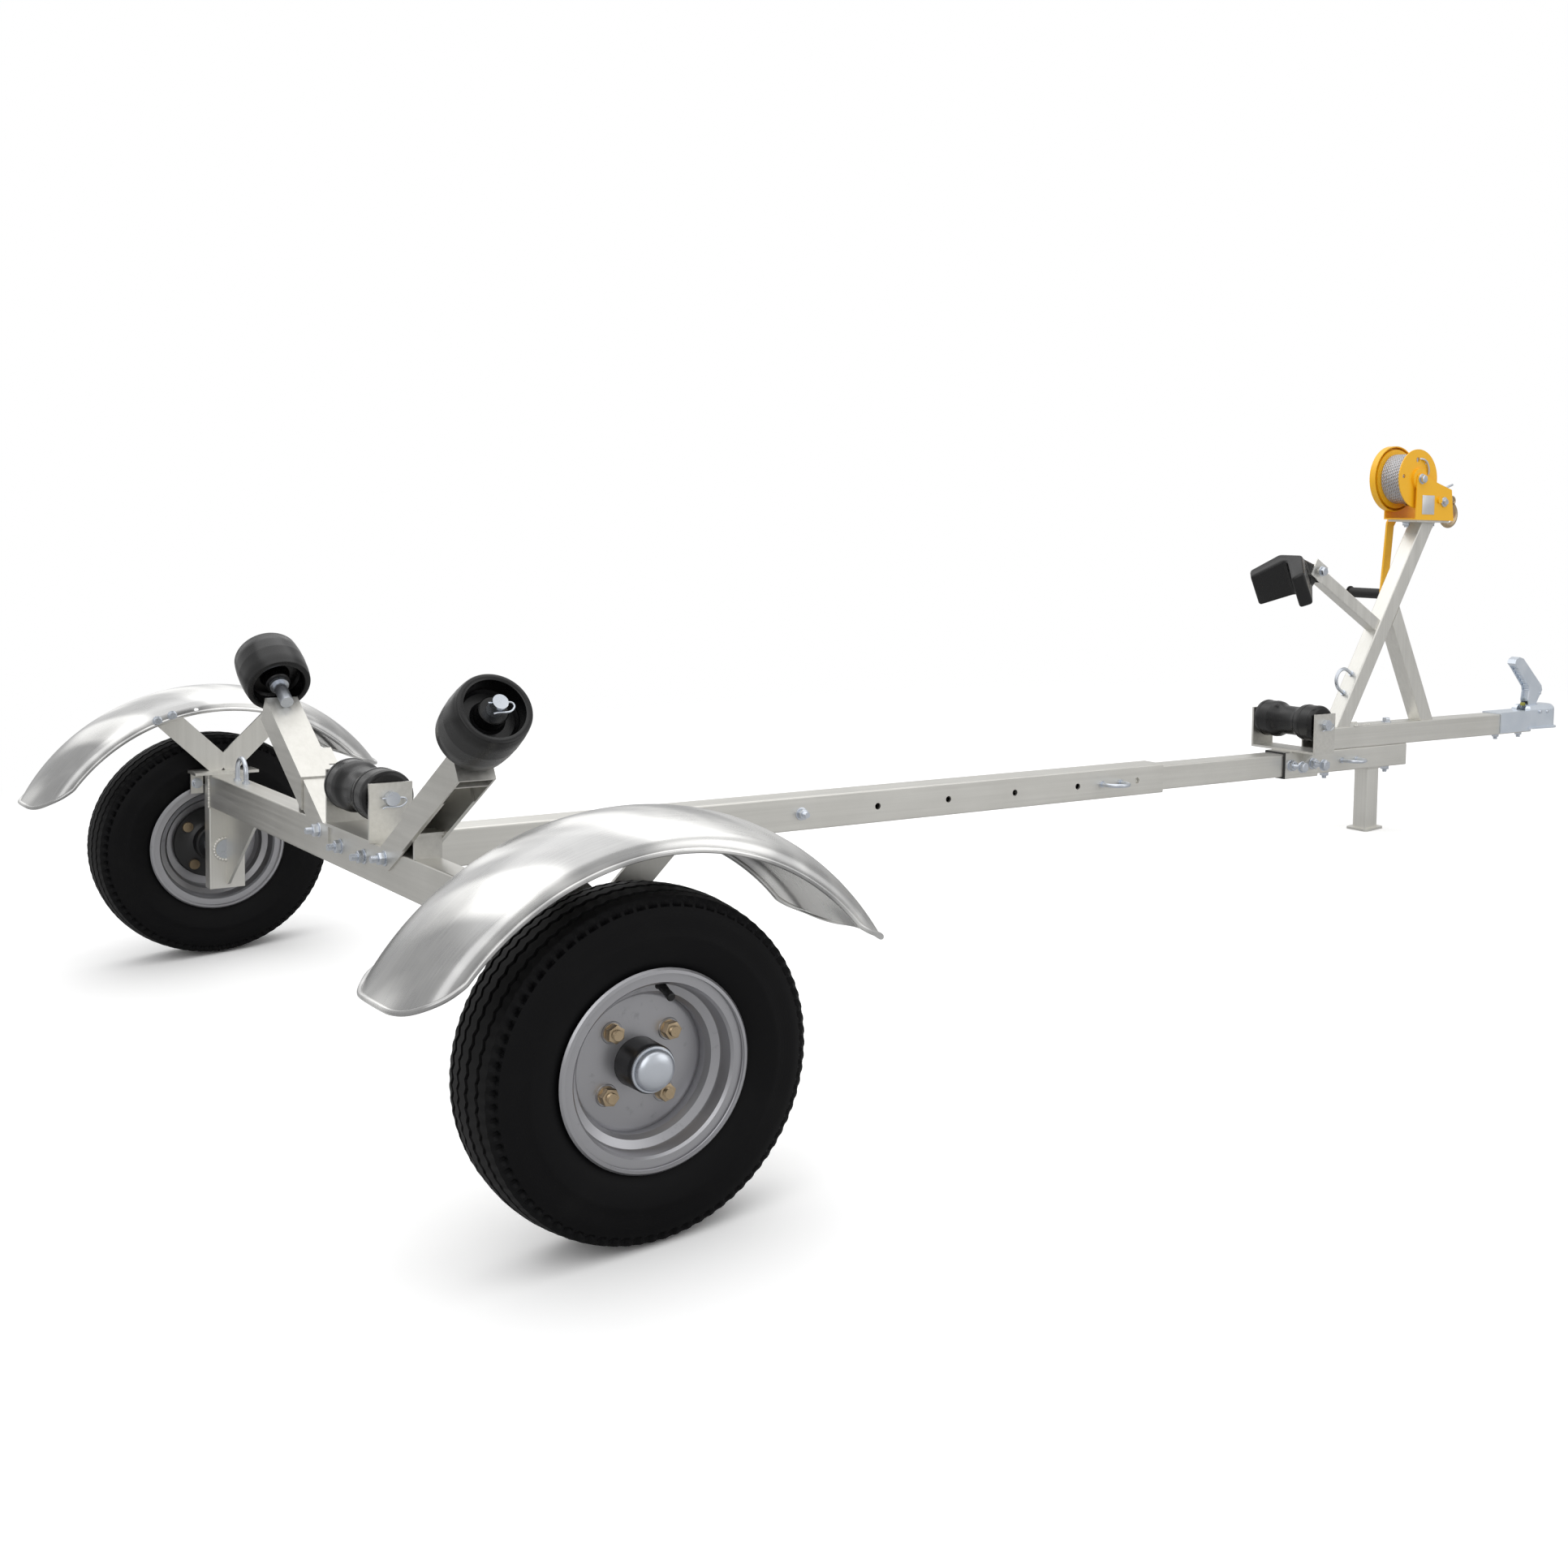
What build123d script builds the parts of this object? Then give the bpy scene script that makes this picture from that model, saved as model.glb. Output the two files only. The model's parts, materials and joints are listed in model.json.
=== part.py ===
from build123d import *
import math
import os

"""A small single-axle boat trailer, parked on its two wheels and its front leg.

The chassis is built level, in a frame with its origin in the middle of the axle line: X runs
forward to the coupling, Y to the left, Z up. park() then leans it nose down until the foot of the
leg stands on the floor. The wheels stand upright on the same axle line. Millimetres throughout.
"""

# Each wheel's side and hand, how far it has turned, and how far its mudguard leans back, in degrees.
WHEELS = (("left", 1, -5.0, 3.5), ("right", -1, 9.0, 0.0))
# How far a cut runs past the faces that it opens.
PAST = 1.0

# ---- running gear ----
TYRE_RADIUS = 205.0
TYRE_HALF_WIDTH = 61.0
TYRE_WALL = 9.0
TREAD_HALF_WIDTH = 47.0
SHOULDER_DROP = 7.0
SIDEWALL_RADIUS = 158.0
HALF_TRACK = 850.0
AXLE_HEIGHT = TYRE_RADIUS

RIM_SEAT_RADIUS = 101.5
RIM_FLANGE_RADIUS = 118.5
RIM_FLANGE_ROUND = 4.5
RIM_HALF_WIDTH = 57.0
RIM_FLANGE_LIP = 8.0
RIM_WELL_RADIUS = 84.0
RIM_WELL_HALF_WIDTH = 22.0
RIM_SEAT_HALF_WIDTH = 30.0
RIM_PLATE = 3.0
DISC_OFFSET = 4.0
DISC_PLATE = 4.0
DISC_FIT = 0.2

STUD_CIRCLE = 50.8
STUD_COUNT = 4
STUD_RADIUS = 6.0
STUD_CLEARANCE = 0.5
STUD_LENGTH = 17.0
STUD_HEAD_RADIUS = 9.0
STUD_HEAD = 5.0
NUT_ACROSS = 19.0
NUT_HEIGHT = 12.0

HUB_FLANGE_RADIUS = 66.0
HUB_FLANGE = 9.0
HUB_BARREL_RADIUS = 29.0
HUB_BARREL_OUT = 45.0
HUB_BACK_RADIUS = 33.0
HUB_BACK = 34.0
HUB_BORE_FIT = 0.05
SPIGOT_CLEARANCE = 0.3
CAP_RADIUS = 27.0
CAP_LENGTH = 15.0
CAP_ROUND = 11.0
CAP_WALL = 2.0

AXLE_RADIUS = 14.0
AXLE_ROOT_RADIUS = 20.0
AXLE_END_GAP = 4.0
AXLE_SHOULDER_GAP = 0.3
AXLE_WELD_PROUD = 3.0
WELD_FIT = 0.1

# ---- crossbeam and uprights ----
BEAM_WIDTH = 40.0
BEAM_HEIGHT = 60.0
BEAM_WALL = 3.0
BEAM_REAR = -28.0
DRAWBAR_TOP = 139.5
UPRIGHT_LENGTH = 62.0
UPRIGHT_THICK = 30.0
UPRIGHT_WALL = 4.0
UPRIGHT_DROP = 212.0
TYRE_TO_UPRIGHT = 8.0
GUSSET_WIDTH = 190.0
GUSSET_TIP = 8.0
GUSSET_PLATE = 5.0
GUARD_PLATE = 5.0

# ---- mudguards ----
GUARD_HALF_WIDTH = 92.0
GUARD_SKIN = 2.0
GUARD_DEPTH = 38.0
GUARD_EDGE_RADIUS = 315.0
GUARD_FLANK = 14.0
GUARD_SHOULDER = 20.0
GUARD_DROP = 59.0
GUARD_FORWARD = 5.0
GUARD_REAR_ANGLE = 63.0
GUARD_FRONT_ANGLE = 58.5
GUARD_CORNER = 45.0
GUARD_END_SLANT = 48.0
GUARD_BEAD = 3.5
GUARD_BOLT_RADIUS = 4.0
GUARD_BOLT_INSET = 7.0
GUARD_BOLT_OUT = 1.0
GUARD_HOLE_ANGLE = 5.5
STAY_WIDTH = 40.0
STAY_ANGLE = 45.0
STAY_THICK = 5.0
STAY_FIT = 0.3
STAY_BEYOND = 6.0
GUARD_PLATE_LENGTH = 110.0
GUARD_PLATE_WIDTH = 50.0
GUARD_PLATE_OVERHANG = 4.0
STAY_ROOT = 3.5
TAB_DROP = 38.0
TAB_INSET = 4.0
TAB_GAP = 2.0
TAB_BOLT_RADIUS = 5.0

# ---- rollers ----
PIN_RADIUS = 10.5
PIN_FIT = 0.1
PIN_PROUD = 10.0
KEEL_RADIUS = 40.0
KEEL_WAIST_RADIUS = 32.0
KEEL_HALF_LENGTH = 84.0
KEEL_SHOULDER = 36.0
KEEL_WAIST = 26.0
KEEL_ROUND = 6.0
KEEL_END_GAP = 5.0
BRACKET_PLATE = 5.0
BRACKET_LENGTH = 64.0
BRACKET_RISE = 88.0
PIN_BELOW_TOP = 23.0
REAR_BRACKET_X = -4.0

SIDE_END_RADIUS = 51.0
SIDE_CROWN_RADIUS = 54.0
SIDE_LENGTH = 86.0
SIDE_CUP_RADIUS = 41.0
SIDE_CUP_DEPTH = 30.0
SIDE_BOSS_RADIUS = 20.0
SIDE_BOSS_SETBACK = 6.0
SIDE_ROLLER_START = 20.5
PIN_COLLAR_RADIUS = 15.0
PIN_COLLAR = 6.0
COLLAR_GAP = 0.4
SIDE_PIN_TAIL = 25.0
SIDE_PIN_END = 125.5

# ---- side arms ----
ARM_ANGLE = 31.5
ARM_TOP_Y = 387.0
ARM_TOP_Z = 317.0
ARM_TOP = 4.0
ARM_WALL = 3.0
ARM_DEPTH = 45.0
ARM_FOOT_Y = 216.0
ARM_END_PLATE_PITCH = 21.0
ARM_SLIDE_CLEARANCE = 0.2
ARM_LUG = 15.0
ARM_LUG_LENGTH = 42.0
SADDLE_WALL = 2.8
SADDLE_INNER_Y = 100.0
SADDLE_SKIRT = 30.0
SADDLE_TOP = -70.0
CLEAT_Y = 248.0
CLEAT_HEIGHT = 38.0
CLEAT_PLATE = 5.0
CLEAT_FLANGE = 32.0
CLEAT_OVERHANG = 8.0
CLEAT_FIT = 0.2

# ---- drawbar ----
DRAWBAR_SIZE = 60.0
DRAWBAR_WALL = 4.7
DRAWBAR_SLIDE = 0.3
DRAWBAR_FRONT = 1619.0
DRAWBAR_OVERLAP = 170.0
TUBE_WALL = 3.5
TUBE_CORNER = 3.0
ADJUST_FIRST = 906.0
ADJUST_PITCH = 160.0
ADJUST_COUNT = 5
ADJUST_HOLE_RADIUS = 6.0
LOCK_BOLT_X = 743.0
INNER_FRONT = 2408.0

SLEEVE_X = 2042.0
SLEEVE_LENGTH = 106.0
SLEEVE_WALL = 3.5
SLEEVE_SLIDE = 1.2
SLEEVE_BOLT_PITCH = 70.0
SLEEVE_BOLT_RADIUS = 5.0
SLEEVE_BOLT_LENGTH = 32.0
SLEEVE_NUT_ACROSS = 17.0
SLEEVE_NUT = 9.0
SLEEVE_GUSSET = 34.0

UPPER_REAR = 2100.0
UPPER_FRONT = 2895.0
LEG_X = 2298.0
LEG_SIZE = 40.0
LEG_DROP = 144.5
LEG_WALL = 3.0
FOOT_SIZE = 62.0
FOOT_PLATE = 5.0
FOOT_CORNER = 8.0

# ---- winch post ----
POST_SIZE = 40.0
POST_ANGLE = 59.3
POST_X = 2188.0
POST_TOP = 650.0
BRACE_SIZE = 40.0
BRACE_ANGLE = 62.9
BRACE_X = 2488.0
BOW_ARM_SIZE = 30.0
BOW_ARM_ANGLE = 30.0
BOW_ARM_END_X = 2104.0
BOW_ARM_END_Z = 526.0
BOW_BRACKET = 40.0
BOW_BRACKET_PLATE = 3.5
BOW_PIVOT_FORWARD = 20.0
BOW_BOLT_RADIUS = 6.0
BOW_BOLT_FIT = 0.08

# ---- bow stop ----
BOW_TILT = 26.6
BOW_BOSS_HALF = 19.6
BOW_BOSS_GAP = 0.4
BOW_BOSS_RADIUS = 15.0
BOW_LOW_START = 26.0
BOW_LOW = -26.0
BOW_SHOULDER = 31.0
BOW_WING_BACK = 104.0
BOW_WING_TIP = 126.0
BOW_CROTCH = 64.0
BOW_TIP_OUTER = 80.0
BOW_TIP_INNER = 60.0
BOW_TIP_HIGH = 45.0
BOW_TIP_LOW = -20.0
BOW_HIGH = 64.0
BOW_HIGH_END = 74.0

# ---- winch ----
WINCH_PLATE = 5.0
WINCH_PLATE_LENGTH = 118.0
WINCH_PLATE_WIDTH = 84.0
WINCH_REAR = 2384.0
WINCH_LENGTH = 138.0
WINCH_HALF_WIDTH = 47.0
WINCH_SHEET = 3.0
# The corners of a side plate: how far forward of its rear edge, and how high above the base.
WINCH_SIDE = ((0.0, 0.0), (138.0, 0.0), (128.0, 72.0), (70.0, 88.0), (18.0, 108.0), (4.0, 102.0), (0.0, 90.0))
DRUM_X = 2400.0
DRUM_Z = 749.0
DRUM_BORE = 8.0
DRUM_FIT = 0.08
DRUM_CORE_RADIUS = 24.0
FLANGE_RADIUS = 68.0
FLANGE_SHEET = 3.0
NEAR_FLANGE_Y = -37.0
GEAR_Y = 27.0
GEAR_THICK = 8.0
GEAR_RADIUS = 68.0
PINION_RADIUS = 12.0
PINION_LENGTH = 12.0
GEAR_GAP = 0.4
PINION_X = 2465.0
PINION_SHAFT = 7.0
SHAFT_FIT = 0.08
DRUM_END_GAP = 0.6
COVER_RADIUS = 76.0
COVER_SHEET = 2.5
COVER_RIM = 16.0
COVER_WINDOW = 5.0
CABLE_RADIUS = 2.5
CABLE_WOUND_RADIUS = 57.0
CABLE_GAP = 0.4
FLANGE_HOLES = ((44.0, 95.0, 6.0), (52.0, 175.0, 5.0), (46.0, 55.0, 4.0))

CRANK_Y = 57.0
CRANK_BAR = 24.0
CRANK_THICK = 5.0
CRANK_KNEE = (-43.0, -58.0)
CRANK_END = (-58.0, -222.0)
GRIP_RADIUS = 12.0
GRIP_LENGTH = 98.0
GRIP_ROOT = 3.0
GRIP_FIT = 0.1
GRIP_BOLT = 6.0

HOOK_X = 2562.0
HOOK_Z = 671.0
HOOK_BEND = 27.0
HOOK_WIRE = 6.0
HOOK_START = 60.0
HOOK_SWEEP = 220.0
EYE_RADIUS = 9.0
FERRULE_RADIUS = 5.0
FERRULE = 20.0
TAIL_LIFT = 22.0

# ---- coupling ----
COUPLING_REAR = 2766.0
COUPLING_SHEET = 3.2
COUPLING_SLIDE = 0.3
COUPLING_SKIRT = 3.0
HEAD_REAR = 2885.0
HEAD_CENTRE = 2966.0
HEAD_RADIUS = 35.0
HEAD_TOP = 201.0
HEAD_BOTTOM = 142.0
HEAD_ROUND = 14.0
HEAD_LIP = 6.0
HEAD_LIP_PLATE = 4.0
BALL_RADIUS = 25.3
BALL_DEPTH = 22.0
BALL_X = 2964.0
LEVER_X = 2917.0
LEVER_Z = 196.0
LEVER_PIN = 4.0
LEVER_FIT = 0.08
LEVER_HALF_WIDTH = 12.0
LEVER_SLOT_GAP = 0.6
LEVER_SLOT_DEPTH = 18.0
LEVER_SLOT_REAR = 38.0
LEVER_SLOT_FRONT = 24.0
LEVER_SHEET = 2.5
LEVER_OUTLINE = (
    (-14.0, -6.0), (7.0, -10.0), (12.0, 4.0), (38.0, 40.0), (34.0, 52.0), (-46.0, 122.0),
    (-62.0, 126.0), (-76.0, 120.0), (-80.0, 110.0), (-70.0, 102.0), (-18.0, 50.0), (-16.0, 40.0),
    (-20.0, 18.0),
)
LEVER_HOLLOW = (
    (-40.0, -20.0), (2.0, -20.0), (9.0, 3.0), (34.5, 40.3), (31.3, 50.6), (-47.5, 119.2),
    (-61.5, 122.7), (-73.5, 117.8), (-76.8, 110.5), (-71.0, 105.0), (-80.0, 94.0), (-30.0, 40.0),
)

# ---- lashing rings: width, reach and rod ----
RING_ROD = 4.0
RING_WIDTH = 50.0
RING_REACH = 42.0
RING_WELD_RADIUS = 6.5
RING_WELD = 4.0
BEAM_RING_Y = 620.0
DRAWBAR_RING_X = 1474.0
TUBE_RING_X = 2204.0
POST_RING_UP = 95.0

# ---- what follows from them ----
BEAM_X = BEAM_REAR + BEAM_WIDTH / 2
BEAM_FRONT = BEAM_REAR + BEAM_WIDTH
BEAM_BOTTOM = DRAWBAR_TOP - BEAM_HEIGHT
UPRIGHT_X = BEAM_REAR + UPRIGHT_LENGTH / 2
UPRIGHT_OUT_Y = HALF_TRACK - TYRE_HALF_WIDTH - TYRE_TO_UPRIGHT
UPRIGHT_IN_Y = UPRIGHT_OUT_Y - UPRIGHT_THICK
GUARD_SEAT = DRAWBAR_TOP + GUARD_PLATE
UPRIGHT_BOTTOM = DRAWBAR_TOP - UPRIGHT_DROP
GUARD_PLATE_OUT = UPRIGHT_OUT_Y + GUARD_PLATE_OVERHANG
GUARD_CROWN_RADIUS = GUARD_EDGE_RADIUS + GUARD_DEPTH
GUARD_BOLT_CIRCLE = GUARD_EDGE_RADIUS + GUARD_BOLT_INSET
DRAWBAR_Z = DRAWBAR_TOP - DRAWBAR_SIZE / 2
TUBE_SIZE = DRAWBAR_SIZE - 2 * DRAWBAR_WALL - 2 * DRAWBAR_SLIDE
TUBE_TOP = DRAWBAR_Z + TUBE_SIZE / 2
TUBE_BOTTOM = DRAWBAR_Z - TUBE_SIZE / 2
UPPER_Z = TUBE_TOP + TUBE_SIZE / 2
UPPER_TOP = TUBE_TOP + TUBE_SIZE
SLEEVE_SIZE = TUBE_SIZE + 2 * SLEEVE_SLIDE + 2 * SLEEVE_WALL
SLEEVE_TOP = DRAWBAR_Z + SLEEVE_SIZE / 2
KEEL_PLATE_IN = KEEL_HALF_LENGTH + KEEL_END_GAP
KEEL_PLATE_OUT = KEEL_PLATE_IN + BRACKET_PLATE
SADDLE_WIDTH = BEAM_WIDTH + 2 * SADDLE_WALL
ARM_INSIDE = SADDLE_WIDTH + 2 * ARM_SLIDE_CLEARANCE
ARM_WIDTH = ARM_INSIDE + 2 * ARM_WALL
ARM_FACE = -PIN_RADIUS - PIN_FIT
LEG_FOOT_Z = TUBE_BOTTOM - LEG_DROP
PARK_ANGLE = math.degrees(
    math.asin(AXLE_HEIGHT / math.hypot(LEG_X, LEG_FOOT_Z)) - math.atan2(-LEG_FOOT_Z, LEG_X)
)
BOW_PIVOT_X = BOW_ARM_END_X - BOW_PIVOT_FORWARD * math.cos(math.radians(BOW_ARM_ANGLE))
BOW_PIVOT_Z = BOW_ARM_END_Z + BOW_PIVOT_FORWARD * math.sin(math.radians(BOW_ARM_ANGLE))
BOW_BRACKET_IN = BOW_BOSS_HALF + BOW_BOSS_GAP
WINCH_FLOOR = POST_TOP + WINCH_PLATE
PINION_REACH = GEAR_RADIUS + GEAR_GAP + PINION_RADIUS
PINION_Z = DRUM_Z - math.sqrt(PINION_REACH**2 - (PINION_X - DRUM_X) ** 2)


# ---- small tools ----
def block(x0, x1, y0, y1, z0, z1):
    """A rectangular block between two corners."""
    size = Box(x1 - x0, y1 - y0, z1 - z0)
    return Pos((x0 + x1) / 2, (y0 + y1) / 2, (z0 + z1) / 2) * size


def rod_y(x, z, y0, y1, radius):
    """A round bar along Y."""
    return Pos(x, (y0 + y1) / 2, z) * Rot(90, 0, 0) * Cylinder(radius, abs(y1 - y0))


def plate_y(points, y0, y1):
    """A flat plate with an outline of (x, z) points, from y0 to y1."""
    outline = make_face(Polyline([(x, z) for x, z in points], close=True))
    return Pos(0, y1, 0) * Rot(90, 0, 0) * extrude(outline, y1 - y0)


def square_tube(size_y, size_z, length, wall, corner=TUBE_CORNER):
    """A box-section tube along X from the origin, rounded along its outer corners."""
    outer = RectangleRounded(size_y, size_z, corner)
    inner = Rectangle(size_y - 2 * wall, size_z - 2 * wall)
    return extrude(Plane.YZ * (outer - inner), length)


def hex_nut(across, height, bore):
    """A hexagonal nut standing on the origin, along Z."""
    face = RegularPolygon(across / 2, 6, major_radius=False)
    return extrude(face - Circle(bore), height) if bore else extrude(face, height)


def thicken(points, thickness):
    """The closed outline of a sheet whose one face follows the points, bent with sharp corners."""
    normals = []
    for (x0, y0), (x1, y1) in zip(points, points[1:]):
        length = math.hypot(x1 - x0, y1 - y0)
        normals.append(((y0 - y1) / length, (x1 - x0) / length))
    back = []
    for place, (x, y) in enumerate(points):
        before = normals[max(place - 1, 0)]
        after = normals[min(place, len(normals) - 1)]
        mitre = 1 + before[0] * after[0] + before[1] * after[1]
        back.append(
            (x + thickness * (before[0] + after[0]) / mitre, y + thickness * (before[1] + after[1]) / mitre)
        )
    return list(points) + back[::-1]


def turned(points):
    """A solid turned about the Y axis from (across, radius) points."""
    outline = Plane.XY * make_face(Polyline([(radius, across) for across, radius in points], close=True))
    return revolve(outline, Axis.Y)


def mirrored(solid):
    """The same piece on the other side of the trailer."""
    return mirror(solid, Plane.XZ)


def both_sides(solid):
    """A pair of like pieces, one on each side."""
    return Compound(children=[solid, mirrored(solid)])


# ---- wheels ----
def tyre():
    """A hollow tyre whose beads sit on the rim's seats, between its flanges."""
    seat = RIM_SEAT_RADIUS
    bead = RIM_HALF_WIDTH - RIM_FLANGE_LIP - DISC_FIT
    shoulder = TYRE_RADIUS - SHOULDER_DROP
    with BuildSketch() as section:
        with BuildLine():
            crown = ThreePointArc(
                (shoulder, -TREAD_HALF_WIDTH), (TYRE_RADIUS, 0), (shoulder, TREAD_HALF_WIDTH)
            )
            for side in (1, -1):
                ThreePointArc(
                    (shoulder, side * TREAD_HALF_WIDTH),
                    (SIDEWALL_RADIUS, side * TYRE_HALF_WIDTH),
                    (RIM_FLANGE_RADIUS, side * bead),
                )
                Line((RIM_FLANGE_RADIUS, side * bead), (seat + DISC_FIT, side * bead))
            Line((seat + DISC_FIT, -bead), (seat + DISC_FIT, bead))
        make_face()
        with BuildLine():
            inner = shoulder - TYRE_WALL
            ThreePointArc((inner, TYRE_WALL - TREAD_HALF_WIDTH), (TYRE_RADIUS - TYRE_WALL, 0),
                          (inner, TREAD_HALF_WIDTH - TYRE_WALL))
            for side in (1, -1):
                ThreePointArc(
                    (inner, side * (TREAD_HALF_WIDTH - TYRE_WALL)),
                    (SIDEWALL_RADIUS, side * (TYRE_HALF_WIDTH - TYRE_WALL)),
                    (RIM_FLANGE_RADIUS, side * (bead - TYRE_WALL)),
                )
                Line((RIM_FLANGE_RADIUS, side * (bead - TYRE_WALL)), (seat, side * (bead - TYRE_WALL)))
            Line((seat, -bead + TYRE_WALL), (seat, bead - TYRE_WALL))
        make_face(mode=Mode.SUBTRACT)
    return revolve(section.sketch, Axis.Y)


def rim():
    """A pressed rim: a drop-centre barrel and a flat disc with the stud holes, its front at +Y."""
    lip = RIM_HALF_WIDTH - RIM_FLANGE_LIP
    half = [
        (RIM_WELL_HALF_WIDTH, RIM_WELL_RADIUS),
        (RIM_SEAT_HALF_WIDTH, RIM_SEAT_RADIUS),
        (lip, RIM_SEAT_RADIUS),
        (lip, RIM_FLANGE_RADIUS - RIM_FLANGE_ROUND),
        (lip + RIM_FLANGE_ROUND, RIM_FLANGE_RADIUS),
        (RIM_HALF_WIDTH, RIM_FLANGE_RADIUS - RIM_FLANGE_ROUND / 2),
    ]
    profile = [(-across, radius) for across, radius in half[::-1]] + half
    barrel = turned(thicken(profile, -RIM_PLATE))
    disc_radius = RIM_WELL_RADIUS - RIM_PLATE / 2
    spigot = HUB_BARREL_RADIUS + SPIGOT_CLEARANCE
    front = DISC_OFFSET + DISC_PLATE
    disc = turned([(DISC_OFFSET, spigot), (DISC_OFFSET, disc_radius), (front, disc_radius), (front, spigot)])
    body = barrel + disc
    for place in range(STUD_COUNT):
        x, z = stud_place(place)
        body -= rod_y(x, z, 0, RIM_WELL_HALF_WIDTH, STUD_RADIUS + STUD_CLEARANCE)
    return body


def stud_place(place):
    """The (x, z) place of one wheel stud."""
    angle = math.radians(360 / STUD_COUNT * (place + 0.5))
    return STUD_CIRCLE * math.cos(angle), STUD_CIRCLE * math.sin(angle)


def hub():
    """The hub with its studs, nuts and grease cap. It bolts to the disc's inner face."""
    bore = AXLE_RADIUS + HUB_BORE_FIT
    back = DISC_OFFSET - HUB_FLANGE
    body = turned([
        (-HUB_BACK, bore), (-HUB_BACK, HUB_BACK_RADIUS), (back, HUB_BACK_RADIUS),
        (back, HUB_FLANGE_RADIUS), (DISC_OFFSET, HUB_FLANGE_RADIUS), (DISC_OFFSET, HUB_BARREL_RADIUS),
        (HUB_BARREL_OUT, HUB_BARREL_RADIUS), (HUB_BARREL_OUT, bore),
    ])
    end = HUB_BARREL_OUT + CAP_LENGTH
    cap = turned([
        (HUB_BARREL_OUT, bore), (HUB_BARREL_OUT, CAP_RADIUS), (end - CAP_ROUND, CAP_RADIUS),
        (end - CAP_ROUND / 3, CAP_RADIUS - CAP_ROUND / 3), (end, CAP_RADIUS - CAP_ROUND), (end, 0),
        (end - CAP_WALL, 0), (end - CAP_WALL, bore),
    ])
    body += cap
    front = DISC_OFFSET + DISC_PLATE
    for place in range(STUD_COUNT):
        x, z = stud_place(place)
        body += rod_y(x, z, back - STUD_HEAD, back, STUD_HEAD_RADIUS)
        body += rod_y(x, z, back, front + STUD_LENGTH, STUD_RADIUS)
        body += Pos(x, front, z) * Rot(-90, 0, 0) * hex_nut(NUT_ACROSS, NUT_HEIGHT, 0)
    return body


# ---- crossbeam, uprights and axles ----
def crossbeam():
    """The box-section beam between the uprights."""
    beam = square_tube(BEAM_WIDTH, BEAM_HEIGHT, 2 * UPRIGHT_IN_Y, BEAM_WALL)
    return Pos(BEAM_X, -UPRIGHT_IN_Y, DRAWBAR_TOP - BEAM_HEIGHT / 2) * Rot(0, 0, 90) * beam


def upright():
    """A box-section upright below the beam's left end, with its gusset and the axle's hole."""
    tube = Pos(UPRIGHT_X, (UPRIGHT_IN_Y + UPRIGHT_OUT_Y) / 2, DRAWBAR_TOP) * Rot(0, 90, 0)
    tube = tube * square_tube(UPRIGHT_THICK, UPRIGHT_LENGTH, DRAWBAR_TOP - UPRIGHT_BOTTOM, UPRIGHT_WALL)
    web = make_face(Polyline([
        (UPRIGHT_IN_Y, BEAM_BOTTOM), (UPRIGHT_IN_Y - GUSSET_WIDTH, BEAM_BOTTOM),
        (UPRIGHT_IN_Y - GUSSET_TIP, UPRIGHT_BOTTOM + GUSSET_TIP), (UPRIGHT_IN_Y, UPRIGHT_BOTTOM + GUSSET_TIP),
    ], close=True))
    body = tube + Pos(UPRIGHT_X - GUSSET_PLATE / 2, 0, 0) * extrude(Plane.YZ * web, GUSSET_PLATE)
    start = UPRIGHT_IN_Y - AXLE_WELD_PROUD - WELD_FIT
    return body - rod_y(0, 0, start, UPRIGHT_OUT_Y + PAST, AXLE_ROOT_RADIUS + WELD_FIT)


def stub_axle():
    """The left stub axle: a thick root through the upright, a shoulder and the hub's journal."""
    shoulder = HALF_TRACK - HUB_BACK - AXLE_SHOULDER_GAP
    end = HALF_TRACK + HUB_BARREL_OUT - AXLE_END_GAP
    axle = rod_y(0, 0, UPRIGHT_IN_Y - AXLE_WELD_PROUD, shoulder, AXLE_ROOT_RADIUS)
    return axle + rod_y(0, 0, shoulder, end, AXLE_RADIUS)


# ---- mudguards ----
def guard_point(angle, radius):
    """A chassis (x, z) point at an angle from straight up, about the mudguard's own centre."""
    turn = math.radians(angle)
    return GUARD_FORWARD + radius * math.sin(turn), radius * math.cos(turn) - GUARD_DROP


def guard_outline(inset):
    """The outline of the mudguard's arch, crown outwards along X, drawn in from its outside."""
    edge, half = GUARD_EDGE_RADIUS, GUARD_HALF_WIDTH - inset
    rise = edge + GUARD_FLANK
    with BuildSketch() as outline:
        with BuildLine():
            Polyline((rise, half), (edge, half), (edge, -half), (rise, -half))
            ThreePointArc((rise, -half), (GUARD_CROWN_RADIUS - inset, 0), (rise, half))
        make_face()
        fillet(outline.vertices().sort_by(Axis.X)[-2:], GUARD_SHOULDER - inset)
    return outline.sketch


def guard_section():
    """The mudguard's section: an arched sheet with flanks and rolled edges."""
    sheet = guard_outline(0) - guard_outline(GUARD_SKIN)
    across = GUARD_HALF_WIDTH + GUARD_BEAD - GUARD_SKIN
    for side in (1, -1):
        sheet += Pos(GUARD_EDGE_RADIUS + GUARD_BEAD, side * across) * Circle(GUARD_BEAD)
    return sheet


def guard_room():
    """The room inside a whole ring of mudguard, about the wheel's middle plane."""
    inside = revolve(guard_outline(GUARD_SKIN + STAY_FIT), Axis.Y)
    core = rod_y(0, 0, -GUARD_HALF_WIDTH, GUARD_HALF_WIDTH, GUARD_EDGE_RADIUS + PAST)
    return Pos(GUARD_FORWARD, HALF_TRACK, -GUARD_DROP) * (inside + core)


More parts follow.
